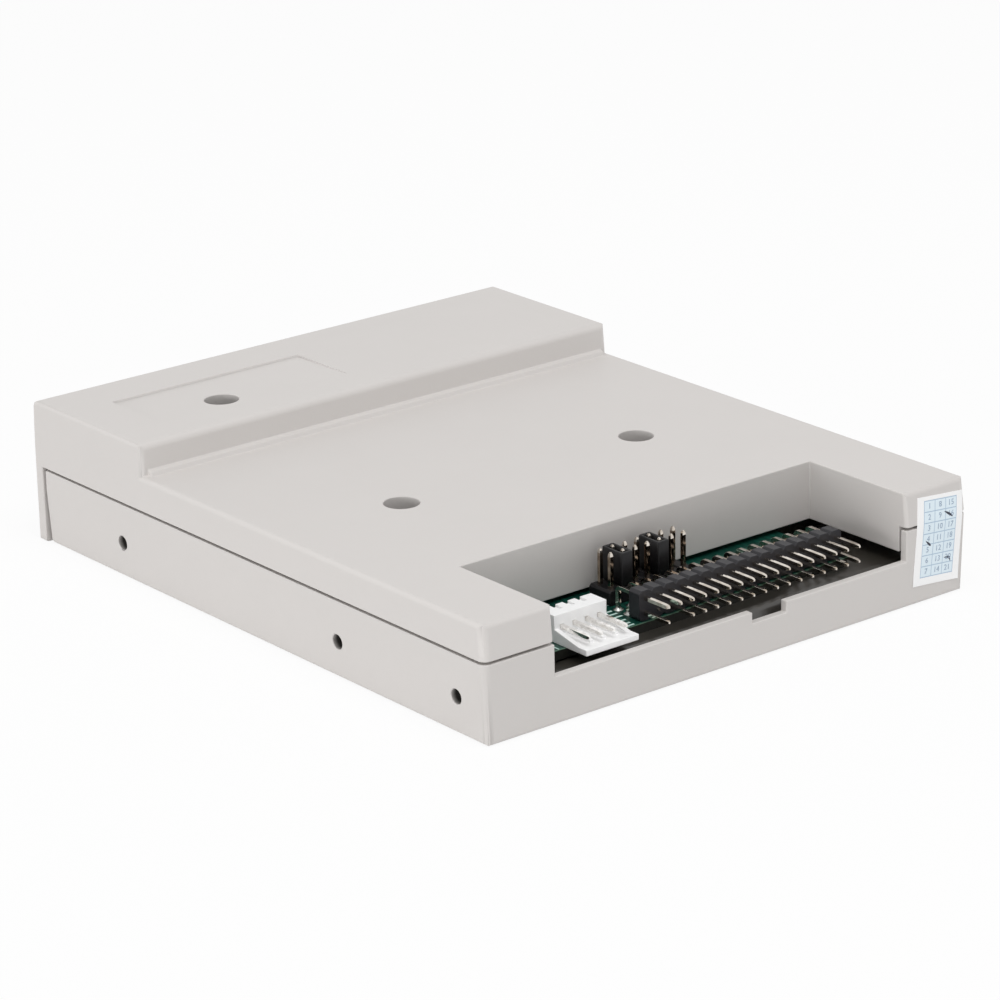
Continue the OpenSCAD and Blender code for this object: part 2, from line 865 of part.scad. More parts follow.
// The board ends beside the drive header, so the bay's left end shows the sheet below it
module main_board() {
  color("#0e4a3a")
    difference() {
      block([-board_half, board_half], [board_front_y, board_rear_y], [board_z, board_top]);
      block([-board_half - past, board_cut_x], [board_cut_y, board_rear_y + past], [board_z - past, board_top + past]);
      for (p = COVER_PLACES)
        translate([p.x, p.y, board_z - past])
          cylinder(d = cover_hole_d, h = board_t + 2 * past);
      for (p = BOARD_SCREW_PLACES)
        translate([p.x, p.y, board_z - past])
          cylinder(d = board_screw_d + screw_slack, h = board_t + 2 * past);
      for (i = [0:header_cols - 1])
        for (row = [0, 1])
          square_hole(header_col_x(i), header_bend_y(row));
      for (i = [0:jumper_cols - 1])
        for (y = [jumper_far_y, jumper_near_y])
          square_hole(jumper_col_x(i), y);
      for (i = [0:power_cols - 1])
        square_hole(power_col_x(i), power_bend_y);
    }
}

// A ridge-shaped groove between two units of a header block, along Y on its top face
module unit_groove(x, y, z) {
  groove = 0.6;
  translate([x, y[0] - past, z])
    rotate([0, 45, 0])
      translate([-groove / 2, 0, -groove / 2])
        cube([groove, y[1] - y[0] + 2 * past, groove]);
}

module header_body() {
  left = header_col_x(header_cols - 1) - pitch / 2;
  sides = [header_front_y, header_rear_y];
  top = board_top + header_block;
  color("#232226")
    difference() {
      block([left, header_x + pitch / 2], sides, [board_top, top]);
      for (i = [1:header_cols - 1])
        unit_groove(header_col_x(i) + pitch / 2, sides, top);
      for (i = [0:header_cols - 1])
        for (row = [0, 1])
          translate([header_col_x(i), 0, header_row_z + row * pitch])
            block(
              [-pin_w / 2 - fit, pin_w / 2 + fit], [header_front_y - past, header_rear_y + past],
              [-pin_w / 2 - fit, pin_w / 2 + fit]
            );
    }
}

module header_pins() {
  color("silver")
    for (i = [0:header_cols - 1])
      for (row = [0, 1]) {
        keyed = row == 0 && i == key_col;
        tip_y = keyed ? header_rear_y + key_stub : header_tip_y;
        bent_pin(header_col_x(i), header_row_z + row * pitch, pin_w, header_bend_y(row), tip_y, tail_z);
      }
}

module jumper_base() {
  left = jumper_col_x(jumper_cols - 1) - pitch / 2;
  sides = [jumper_far_y - pitch / 2, jumper_near_y + pitch / 2];
  color("#232226")
    difference() {
      block([left, jumper_x + pitch / 2], sides, [board_top, jumper_base_top]);
      for (i = [1:jumper_cols - 1])
        unit_groove(jumper_col_x(i) + pitch / 2, sides, jumper_base_top);
      for (i = [0:jumper_cols - 1])
        for (y = [jumper_far_y, jumper_near_y])
          translate([jumper_col_x(i), y, 0])
            block(
              [-pin_w / 2 - fit, pin_w / 2 + fit], [-pin_w / 2 - fit, pin_w / 2 + fit],
              [board_top - past, jumper_base_top + past]
            );
    }
}

module jumper_pins() {
  h = pin_w / 2;
  tip = pin_w * tip_share;
  color("silver")
    for (i = [0:jumper_cols - 1])
      for (y = [jumper_far_y, jumper_near_y])
        translate([0, y, 0])
          along_x(jumper_col_x(i) - h, jumper_col_x(i) + h)
            polygon([
              [-h, tail_z], [h, tail_z], [h, jumper_tip_z - tip], [h - tip, jumper_tip_z],
              [-h + tip, jumper_tip_z], [-h, jumper_tip_z - tip]
            ]);
}

// A cap over one column of jumper pins, open at the top so that the pin tips show
module jumper_cap(col) {
  color("#1f1f22")
    translate([jumper_col_x(col), jumper_mid_y, 0])
      difference() {
        along_z(cap_z, cap_z + cap_h)
          polygon(rounded([
            [-cap_w / 2, -cap_d / 2, cap_r], [cap_w / 2, -cap_d / 2, cap_r],
            [cap_w / 2, cap_d / 2, cap_r], [-cap_w / 2, cap_d / 2, cap_r]
          ]));
        block([-cap_slot_w / 2, cap_slot_w / 2], [-cap_slot_l / 2, cap_slot_l / 2], [0, cap_z + cap_h + past]);
      }
}

// The metal clip inside a cap: two leaves joined by a web between the two pins
module jumper_clip(col) {
  clip_h = cap_h - clip_short;
  color("#c9b27a")
    translate([jumper_col_x(col), jumper_mid_y, cap_z]) {
      for (side = [-1, 1])
        translate([side * (clip_w - clip_t) / 2, 0, clip_h / 2])
          cube([clip_t, clip_l, clip_h], center = true);
      translate([0, 0, clip_h / 2])
        cube([clip_w - clip_t, clip_t, clip_h], center = true);
    }
}

module jumper_cap_a() {
  jumper_cap(cap_a_col);
}

module jumper_clip_a() {
  jumper_clip(cap_a_col);
}

module jumper_cap_b() {
  jumper_cap(cap_b_col);
}

module jumper_clip_b() {
  jumper_clip(cap_b_col);
}

module power_pin_set(extra) {
  for (i = [0:power_cols - 1])
    bent_pin(power_col_x(i), power_pin_z, pin_w, power_bend_y, power_pin_tip_y, tail_z, extra);
}

module power_housing() {
  left = power_x - power_w / 2;
  right = power_x + power_w / 2;
  ramp_y = power_tip_y - power_ramp;
  color("#f2f2f0")
    difference() {
      union() {
        block([left, right], [power_back_y, power_block_y], [board_top, board_top + power_h]);
        block([left, right], [power_block_y - root, power_tip_y], [board_top, board_top + power_plate_t]);
        for (x = [left, right - power_rail_w])
          along_x(x, x + power_rail_w)
            polygon([
              [power_block_y - root, board_top], [power_tip_y, board_top],
              [power_tip_y, board_top + power_plate_t], [ramp_y, board_top + power_plate_t],
              [power_block_y, board_top + power_rail_h], [power_block_y - root, board_top + power_rail_h]
            ]);
        for (i = [0:power_cols - 2])
          block(
            power_between(i, power_rib_w), [power_block_y - root, ramp_y],
            [board_top, board_top + power_plate_t + power_rib_h]
          );
      }
      for (i = [0:power_cols - 2])
        block(
          power_between(i, power_crown_w), [power_back_y - past, power_back_y + power_block_d / 2],
          [board_top + power_h - power_crown_h, board_top + power_h + past]
        );
      power_pin_set(fit);
    }
}

module power_pins() {
  color("silver")
    power_pin_set(0);
}

// Front panel parts

module usb_shell() {
  inner = usb_w / 2 - usb_sheet;
  color("#c8c8cc")
    difference() {
      block([usb_x - usb_w / 2, usb_x + usb_w / 2], [usb_front_y, usb_back_y], [board_top, board_top + usb_h]);
      block(
        [usb_x - inner, usb_x + inner], [usb_front_y - past, usb_back_y - usb_sheet],
        [board_top + usb_sheet, board_top + usb_h - usb_sheet]
      );
    }
}

module usb_tongue() {
  inner = usb_w / 2 - usb_sheet;
  block_y = usb_back_y - usb_sheet - usb_block_l;
  color("#f0f0ee")
    union() {
      block(
        [usb_x - inner, usb_x + inner], [block_y, usb_back_y - usb_sheet],
        [board_top + usb_sheet, board_top + usb_h - usb_sheet]
      );
      block(
        [usb_x - usb_tongue_w / 2, usb_x + usb_tongue_w / 2], [usb_front_y + usb_mouth, block_y + root],
        [usb_tongue_z, usb_tongue_z + usb_tongue_t]
      );
    }
}

module usb_contacts() {
  color("#d8b45a")
    for (i = [-1.5:1:1.5])
      block(
        [usb_x + i * usb_contact_pitch - usb_contact_w / 2, usb_x + i * usb_contact_pitch + usb_contact_w / 2],
        [usb_front_y + usb_mouth + usb_contact_back, usb_back_y - usb_sheet - usb_block_l],
        [usb_tongue_z - usb_contact_t, usb_tongue_z]
      );
}

module display_window() {
  color("#5a1f22")
    union() {
      block(
        [display_x - lens_w / 2, display_x + lens_w / 2], [front_y + lens_sink, bezel_y + lens_t / 2],
        [display_mid_z - lens_h / 2, display_mid_z + lens_h / 2]
      );
      block(
        [display_x - lens_w / 2 - lens_lip, display_x + lens_w / 2 + lens_lip], [bezel_y, bezel_y + lens_t],
        [display_mid_z - lens_h / 2 - lens_lip / 2, display_mid_z + lens_h / 2 + lens_lip]
      );
    }
}

module display_body() {
  color("#2a2a2c")
    difference() {
      block(
        [display_x - display_w / 2, display_x + display_w / 2], [display_face_y, display_back_y],
        [display_z, display_z + display_h]
      );
      for (i = [0:display_cols - 1])
        for (z = display_pin_rows)
          block(
            [display_col_x(i) - display_pin_w / 2 - fit, display_col_x(i) + display_pin_w / 2 + fit],
            [display_back_y - display_leg_sink, display_back_y + past],
            [z - display_pin_w / 2 - fit, z + display_pin_w / 2 + fit]
          );
    }
}

function display_col_x(i) = display_x + (i - (display_cols - 1) / 2) * pitch;

// One bar of a digit, pointed at both ends, along x or standing upright
module segment(x, z, length, upright) {
  h = segment_w / 2;
  l = length / 2;
  translate([x, 0, z])
    rotate([0, upright ? 90 : 0, 0])
      along_y(display_face_y - segment_t, display_face_y)
        polygon([[-l, 0], [h - l, h], [l - h, h], [l, 0], [l - h, -h], [h - l, -h]]);
}

module display_digits() {
  half = digit_h / 2;
  side = digit_w / 2;
  color("#e8d8d4")
    for (d = [0:digits - 1])
      translate([display_x + (d - (digits - 1) / 2) * digit_pitch, 0, display_mid_z]) {
        for (z = [-half, 0, half])
          segment(0, z, digit_w - 2 * segment_ends, false);
        for (x = [-side, side])
          for (z = [-half / 2, half / 2])
            segment(x, z, half - 2 * segment_ends, true);
      }
}

// Display legs leave the rear of the block and bend down to the board
module display_pins() {
  h = display_pin_w / 2;
  color("silver")
    for (i = [0:display_cols - 1])
      for (row = [0, 1]) {
        z = display_pin_rows[row];
        foot_y = display_back_y + display_leg_run + row * pitch;
        from_y = display_back_y - display_leg_sink;
        along_x(display_col_x(i) - h, display_col_x(i) + h)
          polygon([
            [from_y, z - h], [foot_y - h, z - h], [foot_y - h, board_top],
            [foot_y + h, board_top], [foot_y + h, z + h], [from_y, z + h]
          ]);
      }
}

module switch_bodies() {
  color("#2b2b2d")
    for (x = [button_up_x, button_down_x])
      difference() {
        block(
          [x - switch_w / 2, x + switch_w / 2], [switch_face_y, switch_face_y + switch_d],
          [board_top, board_top + switch_h]
        );
        bar_y(x, panel_z, plunger_d + 2 * slide_gap, switch_face_y - past, switch_face_y + plunger_well);
      }
}

module button_cap(x) {
  color("#3a3a3c")
    difference() {
      union() {
        bar_y(x, panel_z, button_d, front_y + lens_sink, button_back_y);
        bar_y(x, panel_z, flange_d, button_back_y - flange_t, button_back_y);
      }
      bar_y(x, panel_z, plunger_d + 2 * fit, button_back_y - plunger_reach, button_back_y + past);
    }
}

module switch_plunger(x) {
  color("#e6e2da")
    bar_y(x, panel_z, plunger_d, button_back_y - plunger_reach, switch_face_y + plunger_in);
}

module button_cap_up() {
  button_cap(button_up_x);
}

module switch_plunger_up() {
  switch_plunger(button_up_x);
}

module button_cap_down() {
  button_cap(button_down_x);
}

module switch_plunger_down() {
  switch_plunger(button_down_x);
}

module activity_lamp() {
  dome_y = lamp_tip_y + lamp_d / 2;
  color("#7ec86a")
    union() {
      translate([lamp_x, dome_y, panel_z])
        sphere(d = lamp_d);
      bar_y(lamp_x, panel_z, lamp_d, dome_y, lamp_back_y);
      bar_y(lamp_x, panel_z, lamp_flange_d, lamp_back_y - lamp_flange_t, lamp_back_y);
    }
}

module lamp_legs() {
  h = lamp_leg_w / 2;
  foot_y = lamp_back_y + lamp_leg_run;
  color("silver")
    for (side = [-1, 1])
      along_x(lamp_x + side * pitch / 4 - h, lamp_x + side * pitch / 4 + h)
        polygon([
          [lamp_back_y, panel_z - h], [foot_y - h, panel_z - h], [foot_y - h, board_top],
          [foot_y + h, board_top], [foot_y + h, panel_z + h], [lamp_back_y, panel_z + h]
        ]);
}

// Chips and small parts on the board

module chip_block(place, l, w, h) {
  translate([place.x, place.y, board_top])
    block([-l / 2, l / 2], [-w / 2, w / 2], [lead_t, lead_t + h]);
}

module mcu_body() {
  color("#1d1d20")
    chip_block(MCU_PLACE, mcu_w, mcu_w, mcu_h);
}

module mcu_leads() {
  color("silver")
    translate([MCU_PLACE.x, MCU_PLACE.y, 0])
      for (side = [0:3])
        rotate([0, 0, side * 90])
          for (i = [0:mcu_side_leads - 1])
            translate([(i - (mcu_side_leads - 1) / 2) * mcu_pitch, mcu_w / 2, 0])
              gull_lead(mcu_lead_w, board_top + lead_t + mcu_h / 2, lead_reach);
}

module crystal_can() {
  run = (crystal_l - crystal_w) / 2;
  color("#c4c4c8")
    translate([CRYSTAL_PLACE.x, CRYSTAL_PLACE.y, board_top])
      union() {
        for (side = [-1, 1])
          translate([0, side * run, 0])
            cylinder(d = crystal_w, h = crystal_h);
        block([-crystal_w / 2, crystal_w / 2], [-run, run], [0, crystal_h]);
      }
}

module regulator_body() {
  color("#1d1d20")
    chip_block(REGULATOR_PLACE, regulator_l, regulator_w, regulator_h);
}

module regulator_tabs() {
  z = board_top + lead_t + regulator_h / 2;
  color("silver")
    translate([REGULATOR_PLACE.x, REGULATOR_PLACE.y, 0]) {
      translate([0, regulator_w / 2, 0])
        gull_lead(tab_w, z, leg_reach);
      rotate([0, 0, 180])
        for (i = [-1:1])
          translate([i * leg_pitch, regulator_w / 2, 0])
            gull_lead(leg_w, z, leg_reach);
    }
}

module capacitor_cans() {
  color("#c9c9cf")
    for (p = CAN_PLACES)
      translate([p.x, p.y, board_top + can_base_h])
        cylinder(d = can_d, h = can_h);
}

module capacitor_bases() {
  color("#1d1d20")
    for (p = CAN_PLACES)
      translate([p.x, p.y, board_top])
        block([-can_base / 2, can_base / 2], [-can_base / 2, can_base / 2], [0, can_base_h]);
}

module buffer_chips() {
  color("#1d1d20")
    for (p = BUFFER_PLACES)
      chip_block(p, buffer_l, buffer_w, buffer_h);
}

module buffer_leads() {
  color("silver")
    for (p = BUFFER_PLACES)
      translate([p.x, p.y, 0])
        for (side = [0, 1])
          rotate([0, 0, side * 180])
            for (i = [0:buffer_side_leads - 1])
              translate([(i - (buffer_side_leads - 1) / 2) * buffer_pitch, buffer_w / 2, 0])
                gull_lead(buffer_lead_w, board_top + lead_t + buffer_h / 2, lead_reach);
}

function resistor_x(i) = (i - (resistor_cols - 1) / 2) * resistor_pitch;

module chip_resistors() {
  color("#2c2c30")
    for (row = [0:resistor_rows - 1])
      for (i = [0:resistor_cols - 1])
        translate([resistor_x(i), mid_board_y + row * resistor_pitch, board_top])
          block([-resistor_l / 2, resistor_l / 2], [-resistor_w / 2, resistor_w / 2], [0, resistor_h]);
}

top_shell();
bottom_shell();
cover_screws();
board_screws();
insulating_sheet();
seam_sticker();
main_board();
header_body();
header_pins();
jumper_base();
jumper_pins();
jumper_cap_a();
jumper_clip_a();
jumper_cap_b();
jumper_clip_b();
power_housing();
power_pins();
usb_shell();
usb_tongue();
usb_contacts();
display_window();
display_body();
display_digits();
display_pins();
switch_bodies();
button_cap_up();
switch_plunger_up();
button_cap_down();
switch_plunger_down();
activity_lamp();
lamp_legs();
mcu_body();
mcu_leads();
crystal_can();
regulator_body();
regulator_tabs();
capacitor_cans();
capacitor_bases();
buffer_chips();
buffer_leads();
chip_resistors();
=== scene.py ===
# %% [markdown]
# # A floppy drive emulator, dressed for its picture
#
# The object is a flat plastic case for a drive bay. Its solids come from the CAD model, and this script
# gives them their looks. Paint alone would leave their knife-sharp corners, so the pieces that are seen
# close by are rebuilt here with numpy.

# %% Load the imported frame
import json
import math

import bmesh
import bpy
import numpy as np
from mathutils import Matrix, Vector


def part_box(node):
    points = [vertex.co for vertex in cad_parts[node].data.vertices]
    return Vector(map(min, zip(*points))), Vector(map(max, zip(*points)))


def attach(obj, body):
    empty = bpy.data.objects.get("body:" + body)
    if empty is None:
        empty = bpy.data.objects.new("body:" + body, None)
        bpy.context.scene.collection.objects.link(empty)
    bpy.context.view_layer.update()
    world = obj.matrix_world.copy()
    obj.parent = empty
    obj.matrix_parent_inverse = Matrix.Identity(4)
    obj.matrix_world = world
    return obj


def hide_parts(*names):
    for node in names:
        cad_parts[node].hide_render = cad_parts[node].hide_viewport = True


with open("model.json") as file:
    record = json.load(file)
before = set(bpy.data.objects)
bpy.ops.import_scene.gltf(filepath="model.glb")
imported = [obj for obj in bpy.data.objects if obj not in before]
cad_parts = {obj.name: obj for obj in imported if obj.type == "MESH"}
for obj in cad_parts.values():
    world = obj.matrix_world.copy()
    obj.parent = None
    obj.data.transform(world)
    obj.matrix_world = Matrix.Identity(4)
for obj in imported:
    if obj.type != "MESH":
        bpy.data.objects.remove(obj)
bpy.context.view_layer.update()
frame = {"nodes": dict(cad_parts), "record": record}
MM = 0.001

# %% [markdown]
# ## Grids of points become meshes
#
# Almost every new piece is a tube of rings: a pin is a square carried along a bent wire, a button is a circle
# that grows and shrinks along its axis. Blender's primitives could be joined instead. One function that turns
# an array of rings into closed meshes makes many copies at once, and each size can follow from another.

# %% Mesh helpers


def add_object(name, data):
    """A new object with the given data, linked into the scene."""
    item = bpy.data.objects.new(name, data)
    bpy.context.collection.objects.link(item)
    return item


def new_piece(name, verts, faces, smooth=35.0):
    """An object at the origin with the given points and faces, shaded soft below an angle in degrees."""
    mesh = bpy.data.meshes.new(name)
    mesh.from_pydata(np.asarray(verts).reshape(-1, 3).tolist(), [], faces)
    shell = bmesh.new()
    shell.from_mesh(mesh)
    bmesh.ops.recalc_face_normals(shell, faces=shell.faces)
    shell.to_mesh(mesh)
    shell.free()
    mesh.shade_smooth()
    mesh.set_sharp_from_angle(angle=math.radians(smooth))
    return add_object(name, mesh)


def ring_faces(copies, rings, points, loop=False):
    """Faces of copies of a tube: a quad from each point to the next, on this ring and on the next ring.

    A loop joins its last ring to its first, as a frame does. Any other tube is closed by a face at each end.
    """
    start = np.arange(copies)[:, None, None] * rings * points
    row = np.arange(rings if loop else rings - 1)[None, :, None]
    col = np.arange(points)[None, None, :]
    up, on = (row + 1) % rings, (col + 1) % points
    quads = np.stack([start + row * points + col, start + row * points + on,
                      start + up * points + on, start + up * points + col], axis=-1)
    faces = quads.reshape(-1, 4).tolist()
    if not loop:
        first = start[:, 0] + np.arange(points)[::-1]
        last = start[:, 0] + (rings - 1) * points + np.arange(points)
        faces += first.tolist() + last.tolist()
    return faces


def tube_piece(name, rings, loop=False, smooth=35.0):
    """A piece from an array of rings shaped (copies, rings, points, 3), or without the copies."""
    rings = rings[None] if rings.ndim == 3 else rings
    return new_piece(name, rings, ring_faces(*rings.shape[:3], loop), smooth)


def mesh_points(mesh):
    """The points of a mesh, as rows of (x, y, z)."""
    points = np.empty(len(mesh.vertices) * 3)
    mesh.vertices.foreach_get("co", points)
    return points.reshape(-1, 3)


def rounded_rect(half_x, half_y, radius, steps=4):
    """Points of a rectangle with rounded corners: each corner's centre plus the radius times (cos, sin)."""
    turn = np.radians(np.linspace(0, 90, steps + 1)[None, :] + np.arange(4)[:, None] * 90)
    mid = np.array([[1, 1], [-1, 1], [-1, -1], [1, -1]]) * [half_x - radius, half_y - radius]
    return (mid[:, None] + radius * np.stack([np.cos(turn), np.sin(turn)], axis=-1)).reshape(-1, 2)


def lathe(profile, centre, axis, points):
    """Rings of a turned shape. A profile point (r, h) becomes a circle of radius r, h along the axis."""
    axis = np.asarray(axis, dtype=float)
    side = np.roll(axis, 1)
    other = np.cross(axis, side)
    turn = np.linspace(0, 2 * np.pi, points, endpoint=False)
    circle = np.cos(turn)[:, None] * side + np.sin(turn)[:, None] * other
    return np.asarray(centre) + profile[:, 0, None, None] * circle + profile[:, 1, None, None] * axis


print("mesh helpers ready")

# %% [markdown]
# ## The camera
#
# The photograph looks at the rear right corner from a little above, with a long lens. Fitting the case's
# known corners to the picture gave the place, the small roll and the shift of the frame. A constraint could
# aim the camera, but a matrix holds the roll too.

# %% Camera
AZIMUTH, ELEVATION, ROLL = np.radians([141.62, 19.586, -1.231])
DISTANCE = 690.008 * MM
AIM = np.array([0, 0, 12.5 * MM])
FOCAL_PIXELS, FRAME_PIXELS, SENSOR = 4115.264, 1000, 36
SHIFT_PIXELS = (9.244, -6.977)
NEAREST, FARTHEST = 0.01, 50


def unit(vectors):
    """Each vector divided by its length."""
    return vectors / np.linalg.norm(vectors, axis=-1, keepdims=True)


def turn_and_place(item, side, above, back, place):
    """Gives an object three directions and a place, as the columns of its matrix."""
    pose = np.eye(4)
    pose[:3] = np.column_stack([side, above, back, place])
    item.matrix_world = Matrix(pose.tolist())


back = np.array([np.sin(AZIMUTH) * np.cos(ELEVATION),
                 -np.cos(AZIMUTH) * np.cos(ELEVATION), np.sin(ELEVATION)])
right = unit(np.cross(-back, [0, 0, 1]))
up = np.cross(right, -back)
turned_right = right * np.cos(ROLL) + up * np.sin(ROLL)
turned_up = up * np.cos(ROLL) - right * np.sin(ROLL)

lens = bpy.data.cameras.new("product_camera")
lens.sensor_width = SENSOR
lens.lens = FOCAL_PIXELS / FRAME_PIXELS * SENSOR
lens.shift_x, lens.shift_y = (pixels / FRAME_PIXELS for pixels in SHIFT_PIXELS)
lens.clip_start, lens.clip_end = NEAREST, FARTHEST
camera = add_object("product_camera", lens)
turn_and_place(camera, turned_right, turned_up, back, AIM + back * DISTANCE)
bpy.context.scene.camera = camera
print("camera at", (AIM + back * DISTANCE).round(4), "lens", round(lens.lens, 1), "mm")

# %% [markdown]
# ## Node trees in short lines
#
# Shader trees get long when every link takes a line. These helpers add a node, set its sockets and link what
# it is given, so a material below reads like a formula.

# %% Node helpers


def linear(red, green, blue):
    """An sRGB colour from 0 to 255 as the linear colour that shaders use, by the sRGB standard's curve."""
    srgb = np.array([red, green, blue]) / 255
    value = np.where(srgb <= 0.04045, srgb / 12.92, ((srgb + 0.055) / 1.055) ** 2.4)
    return (*value.tolist(), 1.0)


def feed(tree, node, **sockets):
    """Gives each input a value, or an output to link. Underscores stand for spaces, and i2 is input 2."""
    for key, value in sockets.items():
        index = int(key[1:]) if key[1:].isdigit() else key.replace("_", " ")
        if isinstance(value, bpy.types.NodeSocket):
            tree.links.new(value, node.inputs[index])
        else:
            node.inputs[index].default_value = value
    return node


def add_node(tree, kind, settings=None, **sockets):
    """A new shader node with its settings and its inputs."""
    node = tree.nodes.new("ShaderNode" + kind)
    for key, value in (settings or {}).items():
        setattr(node, key, value)
    return feed(tree, node, **sockets)


def maths(tree, operation, *values):
    """The output of a Math node."""
    sockets = {f"i{i}": value for i, value in enumerate(values)}
    return add_node(tree, "Math", {"operation": operation}, **sockets).outputs[0]


def map_range(tree, value, settings=None, **sockets):
    """The output of a Map Range node, from 0 to 1 on both sides unless other limits are given."""
    return add_node(tree, "MapRange", settings, Value=value, **sockets).outputs[0]


def mix_colour(tree, factor, first, second, blend="MIX"):
    """The output of a colour Mix node: the first colour at factor 0, the second at 1."""
    settings = {"data_type": "RGBA", "blend_type": blend}
    return add_node(tree, "Mix", settings, i0=factor, i6=first, i7=second).outputs[2]


def new_group(name, inputs, outputs):
    """An empty shader group with named sockets; returns its tree, what its inputs put out, and its end."""
    tree = bpy.data.node_groups.new(name, "ShaderNodeTree")
    for kind, sockets in (("INPUT", inputs), ("OUTPUT", outputs)):
        for socket, value in sockets.items():
            form = "NodeSocketFloat" if isinstance(value, float) else "NodeSocketColor"
            tree.interface.new_socket(name=socket, in_out=kind, socket_type=form).default_value = value
    return tree, tree.nodes.new("NodeGroupInput").outputs, tree.nodes.new("NodeGroupOutput")


print("node helpers ready")

# %% [markdown]
# ## Floor, sky and two soft lamps
#
# In the photograph the top and the near side are equally bright and the rear is a shade darker, as in a white
# tent. A pale floor, an even sky, one large lamp overhead and a low strip on the right give that. A single
# lamp high on the right would reach too deep into the cable bay. The Light Path node lifts what the camera
# and the reflections see of floor and sky to white, so the object itself gets no brighter.

# %% Stage
SKY_LEVEL, FLOOR_LIFT, FLOOR_HALF, FLOOR_DROP = 0.58, 0.90, 4.0, 0.05 * MM
PALE, WHITE = (0.9, 0.9, 0.9, 1.0), (1.0, 1.0, 1.0, 1.0)
LAMP_DISTANCE = 1.0
LAMPS = {
    # direction from the object, level, width and height in metres
    "soft_box": ((0.10, 0.31, 0.94), 0.42, 0.6, 0.6),
    "low_strip": ((1.0, 0.05, 0.12), 0.25, 0.9, 0.2)}


def seen_directly(tree):
    """1 where the camera, a reflection or a view through something clear meets the surface, otherwise 0."""
    path = add_node(tree, "LightPath").outputs
    seen = maths(tree, "MAXIMUM", path["Is Camera Ray"], path["Is Glossy Ray"])
    return maths(tree, "MAXIMUM", seen, path["Is Transmission Ray"])


def empty_tree(owner):
    """The node tree of a material or a world, without its first nodes."""
    owner.use_nodes = True
    owner.node_tree.nodes.clear()
    return owner.node_tree


def build_floor():
    """A square of floor under the object, in a material that mixes a lit surface with plain white."""
    h, z = FLOOR_HALF, -FLOOR_DROP
    floor = new_piece("floor", [[-h, -h, z], [h, -h, z], [h, h, z], [-h, h, z]], [[0, 1, 2, 3]])
    material = bpy.data.materials.new("pale_floor")
    tree = empty_tree(material)
    lit = add_node(tree, "BsdfDiffuse", Color=PALE).outputs[0]
    white = add_node(tree, "Emission", Color=WHITE, Strength=1.0).outputs[0]
    lift = maths(tree, "MULTIPLY", seen_directly(tree), FLOOR_LIFT)
    both = add_node(tree, "MixShader", i0=lift, i1=lit, i2=white).outputs[0]
    add_node(tree, "OutputMaterial", Surface=both)
    floor.data.materials.append(material)


def build_sky():
    """An even white sky: its own level for light, and level 1 where it is seen."""
    world = bpy.data.worlds.new("white_tent")
    tree = empty_tree(world)
    level = map_range(tree, seen_directly(tree), To_Min=SKY_LEVEL, To_Max=1.0)
    sky = add_node(tree, "Background", Color=WHITE, Strength=level).outputs[0]
    add_node(tree, "OutputWorld", Surface=sky)
    bpy.context.scene.world = world


def build_lamp(name, direction, level, width, height):
    """A flat lamp. Its power, level times (pi times distance) squared, gives a facing surface the level."""
    light = bpy.data.lights.new(name, "AREA")
    light.shape, light.size, light.size_y = "RECTANGLE", width, height
    light.energy = level * (math.pi * LAMP_DISTANCE) ** 2
    toward = unit(np.array(direction))
    side = unit(np.cross([0, 0, 1], toward))
    place = AIM + toward * LAMP_DISTANCE
    turn_and_place(add_object(name, light), side, np.cross(toward, side), toward, place)


build_floor()
build_sky()
for lamp_name, lamp_values in LAMPS.items():
    build_lamp(lamp_name, *lamp_values)
bpy.context.scene.view_settings.view_transform = "Standard"
print("stage: sky", SKY_LEVEL, "lamps", list(LAMPS))

# %% [markdown]
# ## Effects that several finishes share
#
# Real plastic and metal are never one flat value. Three groups bring variety, and every material places them
# with its own numbers: `moulded_skin` gives the grain and the faint clouds of a moulded surface,
# `plated_skin` gives metal its dull patches, and `specks` scatters tiny dark marks. Each reads Object
# coordinates, which here are the same metres for every piece, so nothing slides.

# %% Shared groups
MID_GREY, LIGHT_GREY = (0.5, 0.5, 0.5, 1.0), (0.8, 0.8, 0.8, 1.0)
ROUGH_CLOUDS, METAL_GRAIN = 400.0, 6000.0


def object_point(tree):
    """The Object coordinates of the point that is shaded."""
    return add_node(tree, "TexCoord").outputs["Object"]


def noise(tree, point, scale, detail=2.0, rough=0.5):
    """A Noise texture's value at a point."""
    node = add_node(tree, "TexNoise", Vector=point, Scale=scale, Detail=detail, Roughness=rough)
    return node.outputs[0]


def build_moulded_skin():
    """Clouds lighten and darken the colour, finer ones the roughness, and fine noise is the grain."""
    tree, take, give = new_group(
        "moulded_skin",
        {"Colour": MID_GREY, "Tone": 0.02, "Cloud Scale": 60.0, "Grain Scale": 4000.0,
         "Roughness": 0.5, "Roughness Spread": 0.06},
        {"Colour": MID_GREY, "Roughness": 0.5, "Height": 0.5})
    point = object_point(tree)
    cloud = noise(tree, point, take["Cloud Scale"], detail=4.0, rough=0.6)
    swing = maths(tree, "MULTIPLY", maths(tree, "SUBTRACT", cloud, 0.5), 2.0)
    shade = maths(tree, "MULTIPLY_ADD", swing, take["Tone"], 1.0)
    grey = add_node(tree, "CombineColor", Red=shade, Green=shade, Blue=shade).outputs[0]
    grain = noise(tree, point, take["Grain Scale"], detail=3.0)
    spread = maths(tree, "SUBTRACT", noise(tree, point, ROUGH_CLOUDS, detail=3.0), 0.5)
    rough = maths(tree, "MULTIPLY_ADD", spread, take["Roughness Spread"], take["Roughness"])
    clouded = mix_colour(tree, 1.0, take["Colour"], grey, "MULTIPLY")
    feed(tree, give, Colour=clouded, Roughness=rough, Height=grain)
    return tree


